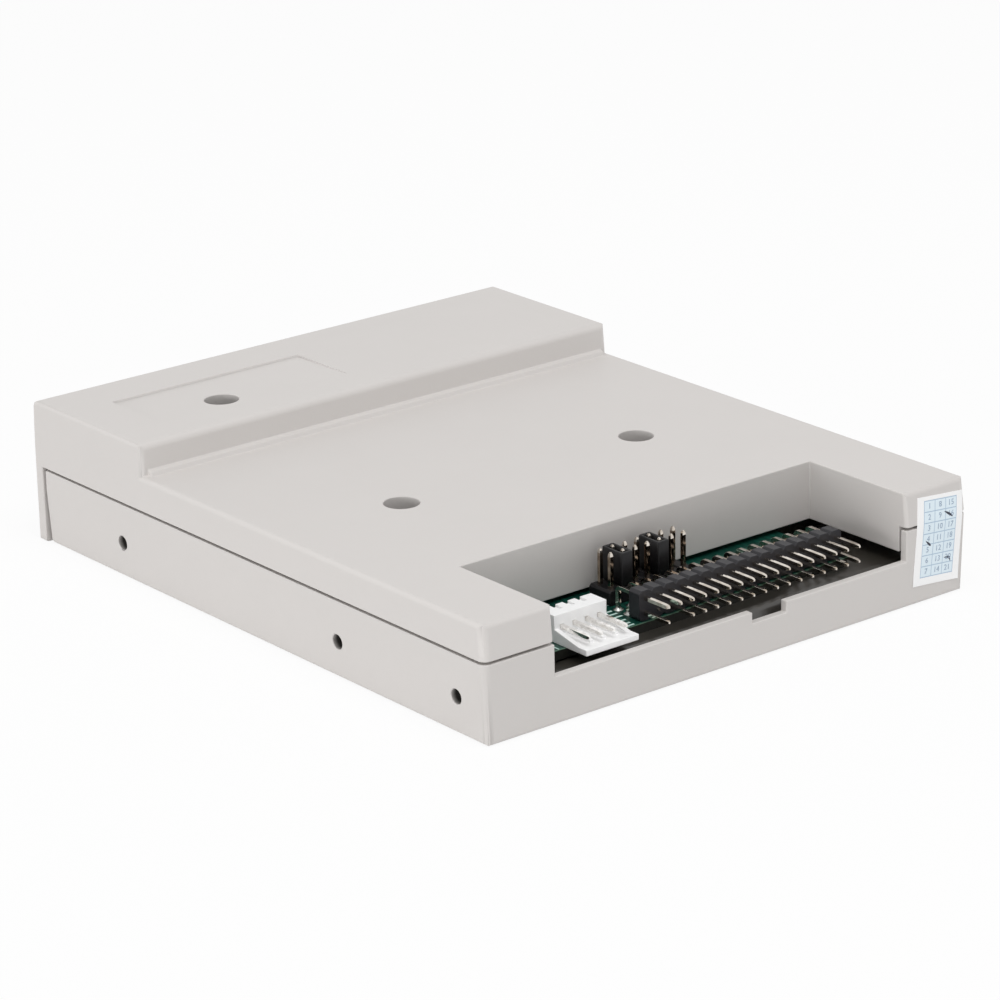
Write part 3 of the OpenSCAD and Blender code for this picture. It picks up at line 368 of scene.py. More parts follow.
def build_plated_skin():
    """Dull patches: noise between bright and dull picks the colour, and dull metal is rougher."""
    tree, take, give = new_group(
        "plated_skin",
        {"Bright": LIGHT_GREY, "Dull": MID_GREY, "Patch Scale": 900.0, "Smooth": 0.15, "Rough": 0.4},
        {"Colour": LIGHT_GREY, "Roughness": 0.3, "Height": 0.5})
    point = object_point(tree)
    patch = noise(tree, point, take["Patch Scale"], detail=4.0, rough=0.6)
    dull = map_range(tree, patch, From_Min=0.38, From_Max=0.72)
    rough = map_range(tree, dull, To_Min=take["Smooth"], To_Max=take["Rough"])
    patched = mix_colour(tree, dull, take["Bright"], take["Dull"])
    feed(tree, give, Colour=patched, Roughness=rough, Height=noise(tree, point, METAL_GRAIN))
    return tree


def build_specks():
    """1 inside a few random spots: a cell's random value decides if it has one, its centre where it is."""
    tree, take, give = new_group("specks", {"Scale": 90.0, "Share": 0.05, "Size": 0.05}, {"Mask": 0.0})
    cells = add_node(tree, "TexVoronoi", Vector=object_point(tree), Scale=take["Scale"]).outputs
    pick = add_node(tree, "SeparateColor", Color=cells["Color"]).outputs[0]
    chosen = maths(tree, "LESS_THAN", pick, take["Share"])
    inside = maths(tree, "LESS_THAN", cells["Distance"], take["Size"])
    feed(tree, give, Mask=maths(tree, "MULTIPLY", chosen, inside))
    return tree


MOULDED_SKIN = build_moulded_skin()
PLATED_SKIN = build_plated_skin()
SPECKS = build_specks()
print("groups:", [group.name for group in bpy.data.node_groups])

# %% [markdown]
# ## The finishes
#
# Each finish is a Principled shader fed by a shared group. The case is a warm light grey with a fine
# spark-eroded grain, hardly shiny. The black parts differ a little: the header's black is bluish, the jumper
# caps' is deeper, the insulating film is smooth.

# %% Finishes
FINISH = {}


def place_group(tree, group, **sockets):
    """What a shared group puts out with this material's own values."""
    return add_node(tree, "Group", {"node_tree": group}, **sockets).outputs


def skinned(name, group, **sockets):
    """A new material whose Principled shader takes its colour and its roughness from a shared group."""
    FINISH[name] = bpy.data.materials.new(name)
    FINISH[name].use_nodes = True
    tree = FINISH[name].node_tree
    skin = place_group(tree, group, **sockets)
    shader = feed(tree, tree.nodes["Principled BSDF"], Base_Color=skin["Colour"], Roughness=skin["Roughness"])
    return tree, shader, skin


def bump(tree, shader, height, depth):
    """A Bump node between a height from 0 to 1 and the shader; depth is the height of 1, in metres."""
    node = add_node(tree, "Bump", Height=height, Distance=depth, Strength=1.0)
    feed(tree, shader, Normal=node.outputs[0])


def moulded(name, colour, rough, tone=0.03, grain=3000.0, depth=0.006 * MM, clouds=300.0, shine=0.5):
    """A moulded plastic: clouded colour and fine grain; shine is the strength of its plain reflection."""
    tree, shader, skin = skinned(name, MOULDED_SKIN, Colour=linear(*colour), Tone=tone, Grain_Scale=grain,
                                 Roughness=rough, Cloud_Scale=clouds)
    feed(tree, shader, Specular_IOR_Level=shine)
    bump(tree, shader, skin["Height"], depth)
    return tree, shader, skin


def build_case_plastic():
    """The case's grey with tiny specks, and painted shade in its bores: an attribute holds each point's
    darkness.
    """
    tree, shader, skin = moulded("case_plastic", (212, 208, 205), 0.52, tone=0.018, clouds=60.0)
    mask = place_group(tree, SPECKS, Share=0.03)["Mask"]
    speckled = mix_colour(tree, mask, skin["Colour"], linear(150, 145, 138))
    # painted shade: the bore attribute mixes the grey towards this dark brown-grey deeper in wells and side
    # holes
    bore = add_node(tree, "Attribute", {"attribute_name": "bore"}).outputs["Fac"]
    feed(tree, shader, Base_Color=mix_colour(tree, map_range(tree, bore), speckled, linear(70, 67, 64)))


def plated(name, bright, dull, smooth, rough, patch=900.0, depth=0.002 * MM):
    """A metal skin with dull patches."""
    tree, shader, skin = skinned(name, PLATED_SKIN, Bright=linear(*bright), Dull=linear(*dull),
                                 Smooth=smooth, Rough=rough, Patch_Scale=patch)
    feed(tree, shader, Metallic=1.0)
    bump(tree, shader, skin["Height"], depth)


build_case_plastic()
moulded("header_plastic", (30, 29, 34), 0.42, tone=0.12, clouds=400.0, shine=0.4)
moulded("cap_plastic", (19, 18, 20), 0.42, tone=0.12, clouds=500.0, shine=0.3)
moulded("chip_resin", (38, 38, 41), 0.55, tone=0.10)
moulded("white_nylon", (250, 250, 250), 0.38, tone=0.012, clouds=200.0)
moulded("black_film", (50, 47, 42), 0.30, tone=0.08, depth=0.0008 * MM, clouds=80.0, shine=1.0)
moulded("display_resin", (40, 40, 43), 0.50, tone=0.08, clouds=250.0)
moulded("digit_resin", (222, 214, 210), 0.45)
moulded("button_plastic", (62, 62, 65), 0.46, tone=0.06)
moulded("plunger_plastic", (224, 219, 208), 0.45)
plated("pin_tin", (222, 215, 206), (178, 166, 152), 0.04, 0.14, depth=0.0004 * MM)
# painted reflection: lighter than the header's tin, standing in for the white housing the power pins mirror
plated("blade_tin_painted_light", (248, 246, 243), (222, 218, 213), 0.10, 0.26, depth=0.0004 * MM)
# painted shade: darker than the header's tin, standing in for the dark caps and walls the posts reflect
plated("post_tin_painted_shade", (186, 170, 154), (128, 112, 98), 0.06, 0.20, depth=0.0006 * MM)
plated("clip_brass", (226, 196, 128), (176, 146, 88), 0.22, 0.42)
plated("screw_zinc", (206, 206, 208), (160, 160, 166), 0.24, 0.46, patch=600.0)
plated("socket_steel", (214, 214, 216), (186, 186, 190), 0.18, 0.34, patch=250.0)
plated("can_aluminium", (224, 224, 228), (196, 196, 200), 0.22, 0.36, patch=300.0)
plated("solder", (178, 178, 174), (128, 130, 128), 0.24, 0.46, patch=1200.0)
print("finishes so far:", len(FINISH))

# %% [markdown]
# ## Special finishes
#
# The circuit board's lacquer is a dark glossy green over copper tracks. The tracks could be modelled one by
# one, but they are only a hair's breadth high. So the material draws them from the X coordinate, at half the
# pitch of the connector's pins and broken by slow noise. The board's cut edge is nearly black. The display
# window and the lamp are clear tinted resin, and the sticker's paper has a blue grid.

# %% Board, window, lamp and paper
PITCH = 2.54 * MM
FACE_DEPTH, BARE_RIM, TRACK_HEIGHT = 0.05 * MM, 0.3 * MM, 0.03 * MM
TRACK_HALF, TRACK_SCALE, TRACK_STRETCH, TRACK_CUT = 0.15, 500.0, (1.0, 0.12, 1.0), 0.46
RESIN_IOR = 1.49


def node_box(node):
    """The low and the high corner of a CAD node's box, as arrays."""
    return [np.array(corner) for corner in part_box(node)]


BOARD_REAR, BOARD_TOP = node_box("main_board")[1][1:].tolist()


def build_board_lacquer():
    """Green where the board's face is, lighter over tracks, bare along the rear rim, near black on its edge.

    A track lies where X, counted in half pitches, is close to the middle between two whole numbers.
    """
    tree, shader, skin = skinned("board_lacquer", MOULDED_SKIN, Colour=linear(15, 59, 50), Tone=0.10,
                                 Cloud_Scale=300.0, Roughness=0.30, Roughness_Spread=0.10)
    point = object_point(tree)
    axis = add_node(tree, "SeparateXYZ", Vector=point).outputs
    face = maths(tree, "GREATER_THAN", axis["Z"], BOARD_TOP - FACE_DEPTH)
    step = maths(tree, "FRACT", maths(tree, "MULTIPLY", axis["X"], 2 / PITCH))
    off = maths(tree, "ABSOLUTE", maths(tree, "SUBTRACT", step, 0.5))
    near = maths(tree, "LESS_THAN", off, TRACK_HALF)
    stretched = add_node(tree, "Mapping", Vector=point, Scale=TRACK_STRETCH).outputs[0]
    whole = maths(tree, "GREATER_THAN", noise(tree, stretched, TRACK_SCALE, detail=0.0), TRACK_CUT)
    track = maths(tree, "MULTIPLY", near, whole)
    green = mix_colour(tree, track, skin["Colour"], linear(22, 82, 68))
    bare = maths(tree, "GREATER_THAN", axis["Y"], BOARD_REAR - BARE_RIM)
    rimmed = mix_colour(tree, bare, green, linear(84, 112, 94))
    feed(tree, shader, Base_Color=mix_colour(tree, face, linear(26, 27, 22), rimmed))
    bump(tree, shader, track, TRACK_HEIGHT)


def build_clear(name, colour, rough, clear):
    """Tinted clear resin that lets light through, with a faint cloud in its roughness."""
    tree, shader, _ = skinned(name, MOULDED_SKIN, Colour=linear(*colour), Tone=0.05, Cloud_Scale=200.0,
                              Roughness=rough, Roughness_Spread=0.05)
    feed(tree, shader, Transmission_Weight=clear, IOR=RESIN_IOR)


GRID = {
    # start, end, cells, and half a line's width as a share of a cell
    "X": (0.15, 0.86, 3, 0.028),
    "Y": (0.09, 0.95, 7, 0.045)}
GRID_WASH, PAPER_GRAIN = 0.85, 0.004 * MM


def build_printed_paper():
    """White paper with a blue grid: a line where the place within a cell is close to the cell's border."""
    tree, shader, skin = skinned("printed_paper", MOULDED_SKIN, Colour=linear(255, 255, 255), Tone=0.008,
                                 Grain_Scale=5000.0, Cloud_Scale=500.0, Roughness=0.62)
    paper = add_node(tree, "UVMap", {"uv_map": "sticker"}).outputs[0]
    spot = add_node(tree, "SeparateXYZ", Vector=paper).outputs
    lines, fields = [], []
    for axis, (start, end, cells, half) in GRID.items():
        along = map_range(tree, spot[axis], {"clamp": False}, From_Min=start, From_Max=end,
                          To_Max=float(cells))
        border = maths(tree, "ABSOLUTE", maths(tree, "SUBTRACT", along, maths(tree, "ROUND", along)))
        lines.append(maths(tree, "LESS_THAN", border, half))
        past = maths(tree, "ABSOLUTE", maths(tree, "SUBTRACT", along, cells / 2))
        fields.append(maths(tree, "LESS_THAN", past, cells / 2 + half))
    field = maths(tree, "MULTIPLY", *fields)
    line = maths(tree, "MULTIPLY", maths(tree, "MAXIMUM", *lines), field)
    wash = maths(tree, "MULTIPLY", field, GRID_WASH)
    tinted = mix_colour(tree, wash, skin["Colour"], linear(226, 243, 253))
    feed(tree, shader, Base_Color=mix_colour(tree, line, tinted, linear(180, 201, 220)))
    bump(tree, shader, skin["Height"], PAPER_GRAIN)


build_board_lacquer()
build_clear("window_tint", (120, 26, 30), 0.10, 0.85)
build_clear("lamp_resin", (140, 206, 118), 0.22, 0.55)
build_printed_paper()
moulded("board_ink", (204, 232, 224), 0.55, tone=0.05, clouds=900.0)
moulded("blue_ink", (158, 176, 196), 0.60, tone=0.08, clouds=900.0)
moulded("pen_ink", (44, 46, 62), 0.50, tone=0.10, clouds=900.0)
print("finishes:", len(FINISH))

# %% [markdown]
# ## From a mesh to a piece of the part
#
# A new mesh takes the finish of a slot, rides a body and stands for a CAD node. That could be written out for
# each piece. The record knows a node's slot and body, so one function looks them up, and a table gives each
# slot its finish.

# %% Dress a piece
SLOT_OF = {subpart["node"]: subpart["material_slot"] for subpart in frame["record"]["subparts"]}
BODY_OF = {node: body for body, nodes in frame["record"]["behaviour"]["bodies"].items() for node in nodes}
SLOT_FINISH = {
    "shell": "case_plastic", "screw_steel": "screw_zinc", "sheet_black": "black_film",
    "board_green": "board_lacquer", "header_black": "header_plastic", "pin_tin": "pin_tin",
    "cap_black": "cap_plastic", "clip_brass": "clip_brass", "nylon_white": "white_nylon",
    "usb_steel": "socket_steel", "window_red": "window_tint", "display_black": "display_resin",
    "digit_white": "digit_resin", "button_grey": "button_plastic", "plunger_cream": "plunger_plastic",
    "lamp_green": "lamp_resin", "chip_black": "chip_resin", "can_metal": "can_aluminium",
    "sticker_paper": "printed_paper"}


def dress(piece, node=None, slot=None, finish=None):
    """Gives a piece its node's body, and the finish of its node's slot or its own.

    A piece that stands for no node, such as print, names a slot for its finish and rides the case.
    """
    slot = slot or SLOT_OF[node]
    piece.data.materials.clear()
    piece.data.materials.append(FINISH[finish or SLOT_FINISH[slot]])
    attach(piece, BODY_OF[node] if node else "case")
    if node:
        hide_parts(node)
    return piece


print("slots:", len(SLOT_FINISH), "bodies:", sorted(set(BODY_OF.values())))

# %% [markdown]
# ## Rounded edges
#
# A mould can't make a sharp edge, so every rim of the case catches a thin line of light. The CAD mesh is
# loose triangles with hard corners. It could be drawn again here, wall by wall, but the solid is already
# right, so a copy of it is merged, its flat triangles are joined, and a Bevel modifier rounds what is left
# sharp.

# %% Softened copies
MERGE = 0.012 * MM
FLAT_ANGLE, CREASE_ANGLE, SQUARE_ANGLE = np.radians([0.3, 32, 80]).tolist()
FACE_RADII = 3


def soften(piece, radius, limit="ANGLE"):
    """A live Bevel along sharp or chosen edges, and normals that keep large faces flat."""
    rim = piece.modifiers.new("soft_edges", "BEVEL")
    rim.width, rim.segments = radius, 2
    rim.limit_method, rim.angle_limit = limit, CREASE_ANGLE
    rim.use_clamp_overlap = False
    piece.modifiers.new("flat_faces", "WEIGHTED_NORMAL").keep_sharp = True
    return piece


def softened_copy(node, radius):
    """A copy of a CAD node: close points become one, flat neighbours join into faces, and edges are rounded.

    An edge is rounded if it is sharp and both of its faces are some three radii wide. A square edge is
    rounded if both faces only reach that far from it, as the rim of a round hole does.
    """
    mesh = frame["nodes"][node].data.copy()
    shell = bmesh.new()
    shell.from_mesh(mesh)
    bmesh.ops.remove_doubles(shell, verts=shell.verts, dist=MERGE)
    bmesh.ops.dissolve_limit(shell, angle_limit=FLAT_ANGLE, verts=shell.verts, edges=shell.edges)
    bmesh.ops.dissolve_degenerate(shell, dist=MERGE, edges=shell.edges)
    weight = shell.edges.layers.float.new("bevel_weight_edge")
    reach = FACE_RADII * radius
    for edge in (edge for edge in shell.edges if edge.is_manifold):
        fold = edge.calc_face_angle()
        wide = all(2 * face.calc_area() > reach * face.calc_perimeter() for face in edge.link_faces)
        deep = all(face.calc_area() > reach * edge.calc_length() for face in edge.link_faces)
        edge[weight] = float(wide and fold > CREASE_ANGLE or deep and fold > SQUARE_ANGLE)
    shell.to_mesh(mesh)
    print(node, "copy:", len(shell.verts), "points,", len(shell.faces), "faces")
    shell.free()
    mesh.name = "soft_" + node
    mesh.shade_smooth()
    mesh.set_sharp_from_angle(angle=CREASE_ANGLE)
    return soften(add_object("soft_" + node, mesh), radius, limit="WEIGHT")


print("softened copies round edges over", round(math.degrees(CREASE_ANGLE)), "degrees")

# %% [markdown]
# ## The two shells and their bores
#
# The screw wells and the side holes turn dark with depth, more than light alone does in pale plastic, so that
# darkness is painted shade. Dark discs could lie in them, but the change is gradual. So each point of a shell
# keeps its depth in a bore as an attribute, and the case's finish paints shade by it.

# %% Shells
# painted shade: the depth in a bore at which the case's grey is fully darkened, for side holes and each well
SHELL_EDGE, HOLE_PAINTED_SHADE_DEPTH = 0.16 * MM, 0.95 * MM
WELL_PAINTED_SHADE_DEPTH = {
    "screw_well_front": 7 * MM, "screw_well_rear_right": 9 * MM, "screw_well_rear_left": 9 * MM}
BORE_REACH, BORE_LIMIT, RIM_DEPTH = 3.05 * MM, 12 * MM, 0.3 * MM


def case_bores():
    """Centre, outward axis and painted-shade depth of each bore: openings give the wells, mounts the side
    holes.
    """
    bores = []
    for opening in frame["record"]["physics"]["openings"]:
        if opening["name"] in WELL_PAINTED_SHADE_DEPTH:
            middle = np.mean(opening["box_m"], axis=0)
            bores.append((middle, np.array([0, 0, 1]), WELL_PAINTED_SHADE_DEPTH[opening["name"]]))
    for mount in frame["record"]["mounts"]:
        if mount["kind"] == "bolt_pattern":
            for way in (-0.5, 0.5):
                shift = np.array([0, way * mount["dims"]["spacing_x_mm"] * MM, 0])
                bores.append((np.array(mount["pos_m"]) + shift, np.array(mount["axis"]), HOLE_PAINTED_SHADE_DEPTH))
    return bores


def shade_bores(piece):
    """Gives each point the attribute bore, a painted shade: its depth below the rim of the bore it lies in,
    divided by the bore's painted-shade depth.

    Walls slope, so the rim itself is up to a rim depth deep. It stays at 0, or the painted shade would darken
    the wall too.
    """
    points = mesh_points(piece.data)
    shade = np.zeros(len(points))
    for centre, axis, dark in case_bores():
        along = (points - centre) @ axis
        inside = np.linalg.norm(points - centre - along[:, None] * axis, axis=1) < BORE_REACH
        inside &= np.abs(along) < BORE_LIMIT
        depth = along[inside].max(initial=0.0) - along[inside]
        shade[inside] = np.maximum(depth - RIM_DEPTH, 0) / dark
    piece.data.attributes.new("bore", "FLOAT", "POINT").data.foreach_set("value", shade)


for shell_node in ("top_shell", "bottom_shell"):
    shade_bores(dress(softened_copy(shell_node, SHELL_EDGE), shell_node))

# %% [markdown]
# ## Header and jumper blocks
#
# Both black blocks are cut from long strips of equal units, with a groove between one unit and the next.
# Copies of one unit would touch inside, so the outline is one array, three points per unit above and three
# below, carried from the front to the rear.

# %% Unit blocks
HEADER_UNITS, JUMPER_UNITS = 17, 7
BLOCKS = {
    # units, depth of the grooves, radius of the edges, finish
    "header_body": (HEADER_UNITS, 0.50 * MM, 0.07 * MM, "header_plastic"),
    "jumper_base": (JUMPER_UNITS, 0.36 * MM, 0.06 * MM, "cap_plastic")}


def unit_block(node, units, groove, radius):
    """A row of units in the place of its CAD node: an outline (x, z) is carried along Y, and edges softened.

    The outline has two shoulders and a groove for each unit, leftwards above and back below.
    """
    low, high = node_box(node)
    middle = high[0] - PITCH * (np.arange(units) + 0.5)
    half, top = PITCH / 2, np.full(units, high[2])
    above = np.stack([[middle + half - groove, top], [middle - half + groove, top],
                      [middle - half, top - groove]]).transpose(2, 0, 1).reshape(-1, 2)
    below = above * [1, -1] + [0, low[2] + high[2]]
    first, last = [[high[0], high[2] - groove]], [[high[0], low[2] + groove]]
    outline = np.concatenate([first, above, below[::-1], last])
    rings = np.stack([np.insert(outline, 1, y, axis=1) for y in (low[1], high[1])])
    return soften(tube_piece("unit_" + node, rings), radius)


for block, (units, groove, edge, finish) in BLOCKS.items():
    dress(unit_block(block, units, groove, edge), block, finish=finish)
print("unit blocks:", HEADER_UNITS, "and", JUMPER_UNITS, "units")

# %% [markdown]
# ## Header pins
#
# A header pin is square wire: up out of the board, round a bend, through the block and out to the rear, with
# a rounded tip that catches the light. A curve with a bevel could make it. Here a section is carried along a
# path in its own upright plane, and a row of pins is that one pin repeated across X. One pin of the lower row
# is cut off, so that the plug can't be put on the wrong way round.

# %% Header pins
PIN_HALF = 0.32 * MM
PIN_TAPER, PIN_ROUND, PIN_SHARES = 0.9 * MM, 0.3 * MM, (0.6, 0.84, 0.5)
BEND_RADIUS, KEY_COLUMN, KEY_STUB = 0.64 * MM, 1, 0.4 * MM
WIRE_SMOOTH = 30.0
CUT = 0.93  # where the cut corners of the wire's section start, as a share of half its width
SQUARE_WIRE = np.array([
    [1, CUT], [CUT, 1], [-CUT, 1], [-1, CUT], [-1, -CUT], [-CUT, -1], [CUT, -1], [1, -CUT]])


def bent_path(bend_y, foot_z, run_z, tip_y, radius=BEND_RADIUS, steps=6):
    """Path (y, z) of a bent wire: up from its foot, a quarter circle to the rear, straight on to its tip."""
    turn = np.radians(np.linspace(180, 90, steps + 1))
    arc = np.column_stack([bend_y + radius + radius * np.cos(turn), run_z - radius + radius * np.sin(turn)])
    return np.concatenate([[[bend_y, foot_z], [bend_y, foot_z + PIN_TAPER]], arc,
                           [[tip_y - PIN_TAPER, run_z], [tip_y - PIN_ROUND, run_z], [tip_y, run_z]]])


def wire_rings(path, columns, shares=PIN_SHARES):
    """Rings of square wire along a path, repeated at each column's x.

    The section's first number goes along the path's normal, its second along X, both times half the width.
    The shares of the full width are those at the first point and at the last two.
    """
    leg = unit(np.diff(path, axis=0))
    tangent = unit(np.concatenate([leg[:1], leg[:-1] + leg[1:], leg[-1:]]))
    normal = np.column_stack([-tangent[:, 1], tangent[:, 0]])
    width = np.full(len(path), PIN_HALF)
    width[[0, -2, -1]] *= shares
    across = width[:, None] * SQUARE_WIRE[None, :, 1]
    along = path[:, None] + (width[:, None] * SQUARE_WIRE[None, :, 0])[..., None] * normal[:, None]
    one = np.concatenate([across[..., None], along], axis=-1)
    return one[None] + columns[:, None, None, None] * np.array([1, 0, 0])


low, high = node_box("header_pins")
header_columns = high[0] - PIN_HALF - PITCH * np.arange(HEADER_UNITS)
upper_z, lower_z = high[2] - PIN_HALF, high[2] - PIN_HALF - PITCH
far_bend, near_bend = low[1] + PIN_HALF, low[1] + PIN_HALF + PITCH
stub_tip = node_box("header_body")[1][1] + KEY_STUB
header_rings = np.concatenate([
    wire_rings(bent_path(far_bend, low[2], upper_z, high[1]), header_columns),
    wire_rings(bent_path(near_bend, low[2], lower_z, high[1]), np.delete(header_columns, KEY_COLUMN)),
    wire_rings(bent_path(near_bend, low[2], lower_z, stub_tip), header_columns[[KEY_COLUMN]])])
dress(tube_piece("header_wires", header_rings, smooth=WIRE_SMOOTH), "header_pins")
print("header pins:", len(header_rings))

# %% [markdown]
# ## Jumper posts and power pins
#
# The jumper posts are the same square wire, upright, in a darker tin that paints in the dark reflections of
# the caps and walls round them. Their bright cut tips could be a second material; as a piece of their own,
# each mesh keeps one finish. The power connector's four pins are bent like the header's, in a lighter tin
# that paints in a reflection of their white housing.

# %% Posts and power pins
POST_TIP, POST_SHARES, TIP_SHARES = 0.7 * MM, (0.6, 1.0, 1.0), (1.0, 0.86, 0.42)
POWER_WAYS, POWER_PITCH = 4, 2.5 * MM
post_low, post_high = node_box("jumper_pins")
jumper_columns = post_high[0] - PIN_HALF - PITCH * np.arange(JUMPER_UNITS)
tip_foot = post_high[2] - POST_TIP


def post_rings(heights, shares):
    """Rings of the upright posts between the given heights, both rows."""
    paths = [np.column_stack([np.full(len(heights), y), heights])
             for y in (post_low[1] + PIN_HALF, post_high[1] - PIN_HALF)]
    return np.concatenate([wire_rings(path, jumper_columns, shares) for path in paths])


stem_heights = [post_low[2], post_low[2] + PIN_TAPER, tip_foot - PIN_TAPER, tip_foot]
stem_rings = post_rings(stem_heights, POST_SHARES)
# the stems take the darker tin with painted shade; their tips keep the header's tin
dress(tube_piece("jumper_posts", stem_rings, smooth=WIRE_SMOOTH), "jumper_pins", finish="post_tin_painted_shade")
tip_rings = post_rings([tip_foot, tip_foot + POST_TIP / 2, post_high[2]], TIP_SHARES)
dress(tube_piece("post_tips", tip_rings, smooth=WIRE_SMOOTH), slot="pin_tin")

low, high = node_box("power_pins")
power_path = bent_path(low[1] + PIN_HALF, low[2], high[2] - PIN_HALF, high[1])
power_columns = high[0] - PIN_HALF - POWER_PITCH * np.arange(POWER_WAYS)
power_rings = wire_rings(power_path, power_columns)
# the power pins take the lighter tin with a painted reflection
dress(tube_piece("power_wires", power_rings, smooth=WIRE_SMOOTH), "power_pins", finish="blade_tin_painted_light")
print("jumper posts:", len(stem_rings), "power pins:", len(power_rings))

# %% [markdown]
# ## Solder and printed lines on the board
#
# Where a header pin goes through the board, a small cone of solder creeps up it. Each cone is the same turned
# profile. Round the connectors the board carries thin printed lines in a pale ink, which show where each part
# sits. A texture could draw them, but slabs of a few hundredths of a millimetre keep their edges crisp.

# %% Solder and ink
CONE = np.array([[0.86, 0.0], [0.84, 0.03], [0.56, 0.16], [0.42, 0.38], [0.35, 0.52]]) * MM
LINE_THICK = 0.03 * MM
RULER_X, RULER_Y, RULER_TICKS, TICK_WIDTH = (-29.0, -9.0), 42.6, 17, 0.5
LONG_TICK, SHORT_TICK, TICKS_PER_LONG = 1.3, 0.7, 4
INK_LINES = np.array([
    # low x, low y, width, depth in mm: round the header, the jumper block and the power connector
    [-30.1, 44.9, 46.1, 0.16], [-30.08, 45.0, 0.16, 9.2], [15.82, 45.0, 0.16, 9.2],
    [-6.2, 39.4, 0.16, 4.6], [13.4, 39.4, 0.16, 4.6], [17.72, 46.3, 0.22, 7.9], [30.1, 46.3, 0.2, 7.9],
    [17.7, 46.2, 12.5, 0.2], [13.6, 47.0, 3.6, 0.4], [13.6, 48.3, 3.0, 0.4], [13.6, 49.6, 3.6, 0.4],
    [16.9, 47.0, 0.34, 4.4], [14.3, 51.2, 1.8, 0.4], [16.2, 52.2, 0.34, 2.0], [14.6, 52.6, 1.2, 0.4],
    [14.6, 53.6, 2.4, 0.34], [17.3, 48.0, 0.3, 6.4], [18.4, 44.4, 1.6, 0.16],
    [21.0, 44.4, 1.6, 0.16], [23.6, 44.4, 1.6, 0.16], [26.2, 44.4, 1.6, 0.16]])

cone = lathe(CONE, (0, 0, BOARD_TOP), (0, 0, 1), points=14)
pin_feet = np.stack(np.meshgrid(header_columns, [far_bend, near_bend], [0.0]), axis=-1).reshape(-1, 3)
cones = cone[None] + pin_feet[:, None, None, :]
dress(tube_piece("solder_cones", cones, smooth=60.0), slot="pin_tin", finish="solder")


def ink_slabs(lines):
    """Flat boxes on the board's face, from rows of low corner and size: a ring at the foot and one above."""
    low_x, low_y, wide, deep = (lines * MM).T[..., None]
    x = low_x + wide * np.array([0, 1, 1, 0])
    y = low_y + deep * np.array([0, 0, 1, 1])
    rings = [np.stack([x, y, np.full_like(x, BOARD_TOP + z)], axis=-1) for z in (0.0, LINE_THICK)]
    return tube_piece("board_lines", np.stack(rings, axis=1))


tick_x = np.linspace(*RULER_X, RULER_TICKS)
tick_depth = np.where(np.arange(RULER_TICKS) % TICKS_PER_LONG, SHORT_TICK, LONG_TICK)
ruler = np.stack(np.broadcast_arrays(tick_x, RULER_Y, TICK_WIDTH, tick_depth), axis=1)
ink = np.concatenate([INK_LINES, ruler])
dress(ink_slabs(ink), slot="board_green", finish="board_ink")
print("solder cones:", len(pin_feet), "printed lines:", len(ink))

# %% [markdown]
# ## The black film
#
# A thin black film keeps the solder side of the board off the floor. It doesn't lie flat: it climbs to the
# board's rear edge and stands up behind it and beside it, close below the rim of the case, with one soft
# bulge that shows a grey reflection. Below the power connector it stays a little lower. It could be draped by
# a cloth simulation; smooth steps give the same line.

# %% Film
FILM_RISE, FILM_FOLD, FILM_SAG, BULGE = 4.8 * MM, 0.55, 0.1, 1.0 * MM
BULGE_PLACE, BULGE_SPREAD = np.array([-20, 55.9]) * MM, np.array([6, 1.7]) * MM
# where the climb, the fold, the sag and the strip beside the board start and end, in mm
CLIMB_Y, FOLD_Y, SAG_X, BESIDE_X, BESIDE_Y = (44, 55), (57.6, 59.65), (18, 34), (30.6, 32.6), (36, 42)


def smooth_step(value, start, end):
    """0 below the start, 1 above the end, and between them 3 t squared minus 2 t cubed. Both are in mm."""
    t = np.clip((value / MM - start) / (end - start), 0, 1)
    return t * t * (3 - 2 * t)


def film_sheet(columns=96, rows=60):
    """The film as a closed slab: a loop of points for each row, above to the right and back below.

    It rises with y, so that it stays under the pins' feet, and sooner beside the board, where there are none.
    Along the rear wall it folds down again. The bulge is a bell curve in x and y.
    """
    low, high = node_box("insulating_sheet")
    x = np.linspace(low[0], high[0], columns)[None, :]
    y = np.linspace(low[1], high[1], rows)[:, None]
    beside = smooth_step(-x, *BESIDE_X) * smooth_step(y, *BESIDE_Y)
    far = ((x - BULGE_PLACE[0]) / BULGE_SPREAD[0]) ** 2 + ((y - BULGE_PLACE[1]) / BULGE_SPREAD[1]) ** 2
    fold = (1 - FILM_FOLD * smooth_step(y, *FOLD_Y)) * (1 - FILM_SAG * smooth_step(x, *SAG_X))
    rise = FILM_RISE * np.maximum(smooth_step(y, *CLIMB_Y), beside) * fold + BULGE * np.exp(-far)
    above, below = (np.stack(np.broadcast_arrays(x, y, rise + z), axis=-1) for z in (high[2], low[2]))
    return tube_piece("draped_film", np.concatenate([above, below[:, ::-1]], axis=1), smooth=60.0)


dress(film_sheet(), "insulating_sheet")
print("film: climbs by", FILM_RISE / MM, "mm")

# %% [markdown]
# ## Jumper caps
#
# A jumper cap is a small black box with no lid, so the tips of its two pins show. A box with a Boolean cut
# could make it. Here it is one closed loop of rings: up the outside, over the rim, down the inside and back
# under.

# %% Jumper caps
CAP_WALLS, CAP_EDGE = np.array([0.52, 0.58]) * MM, 0.10 * MM
CAP_CORNER, SLOT_CORNER = 0.34 * MM, 0.12 * MM


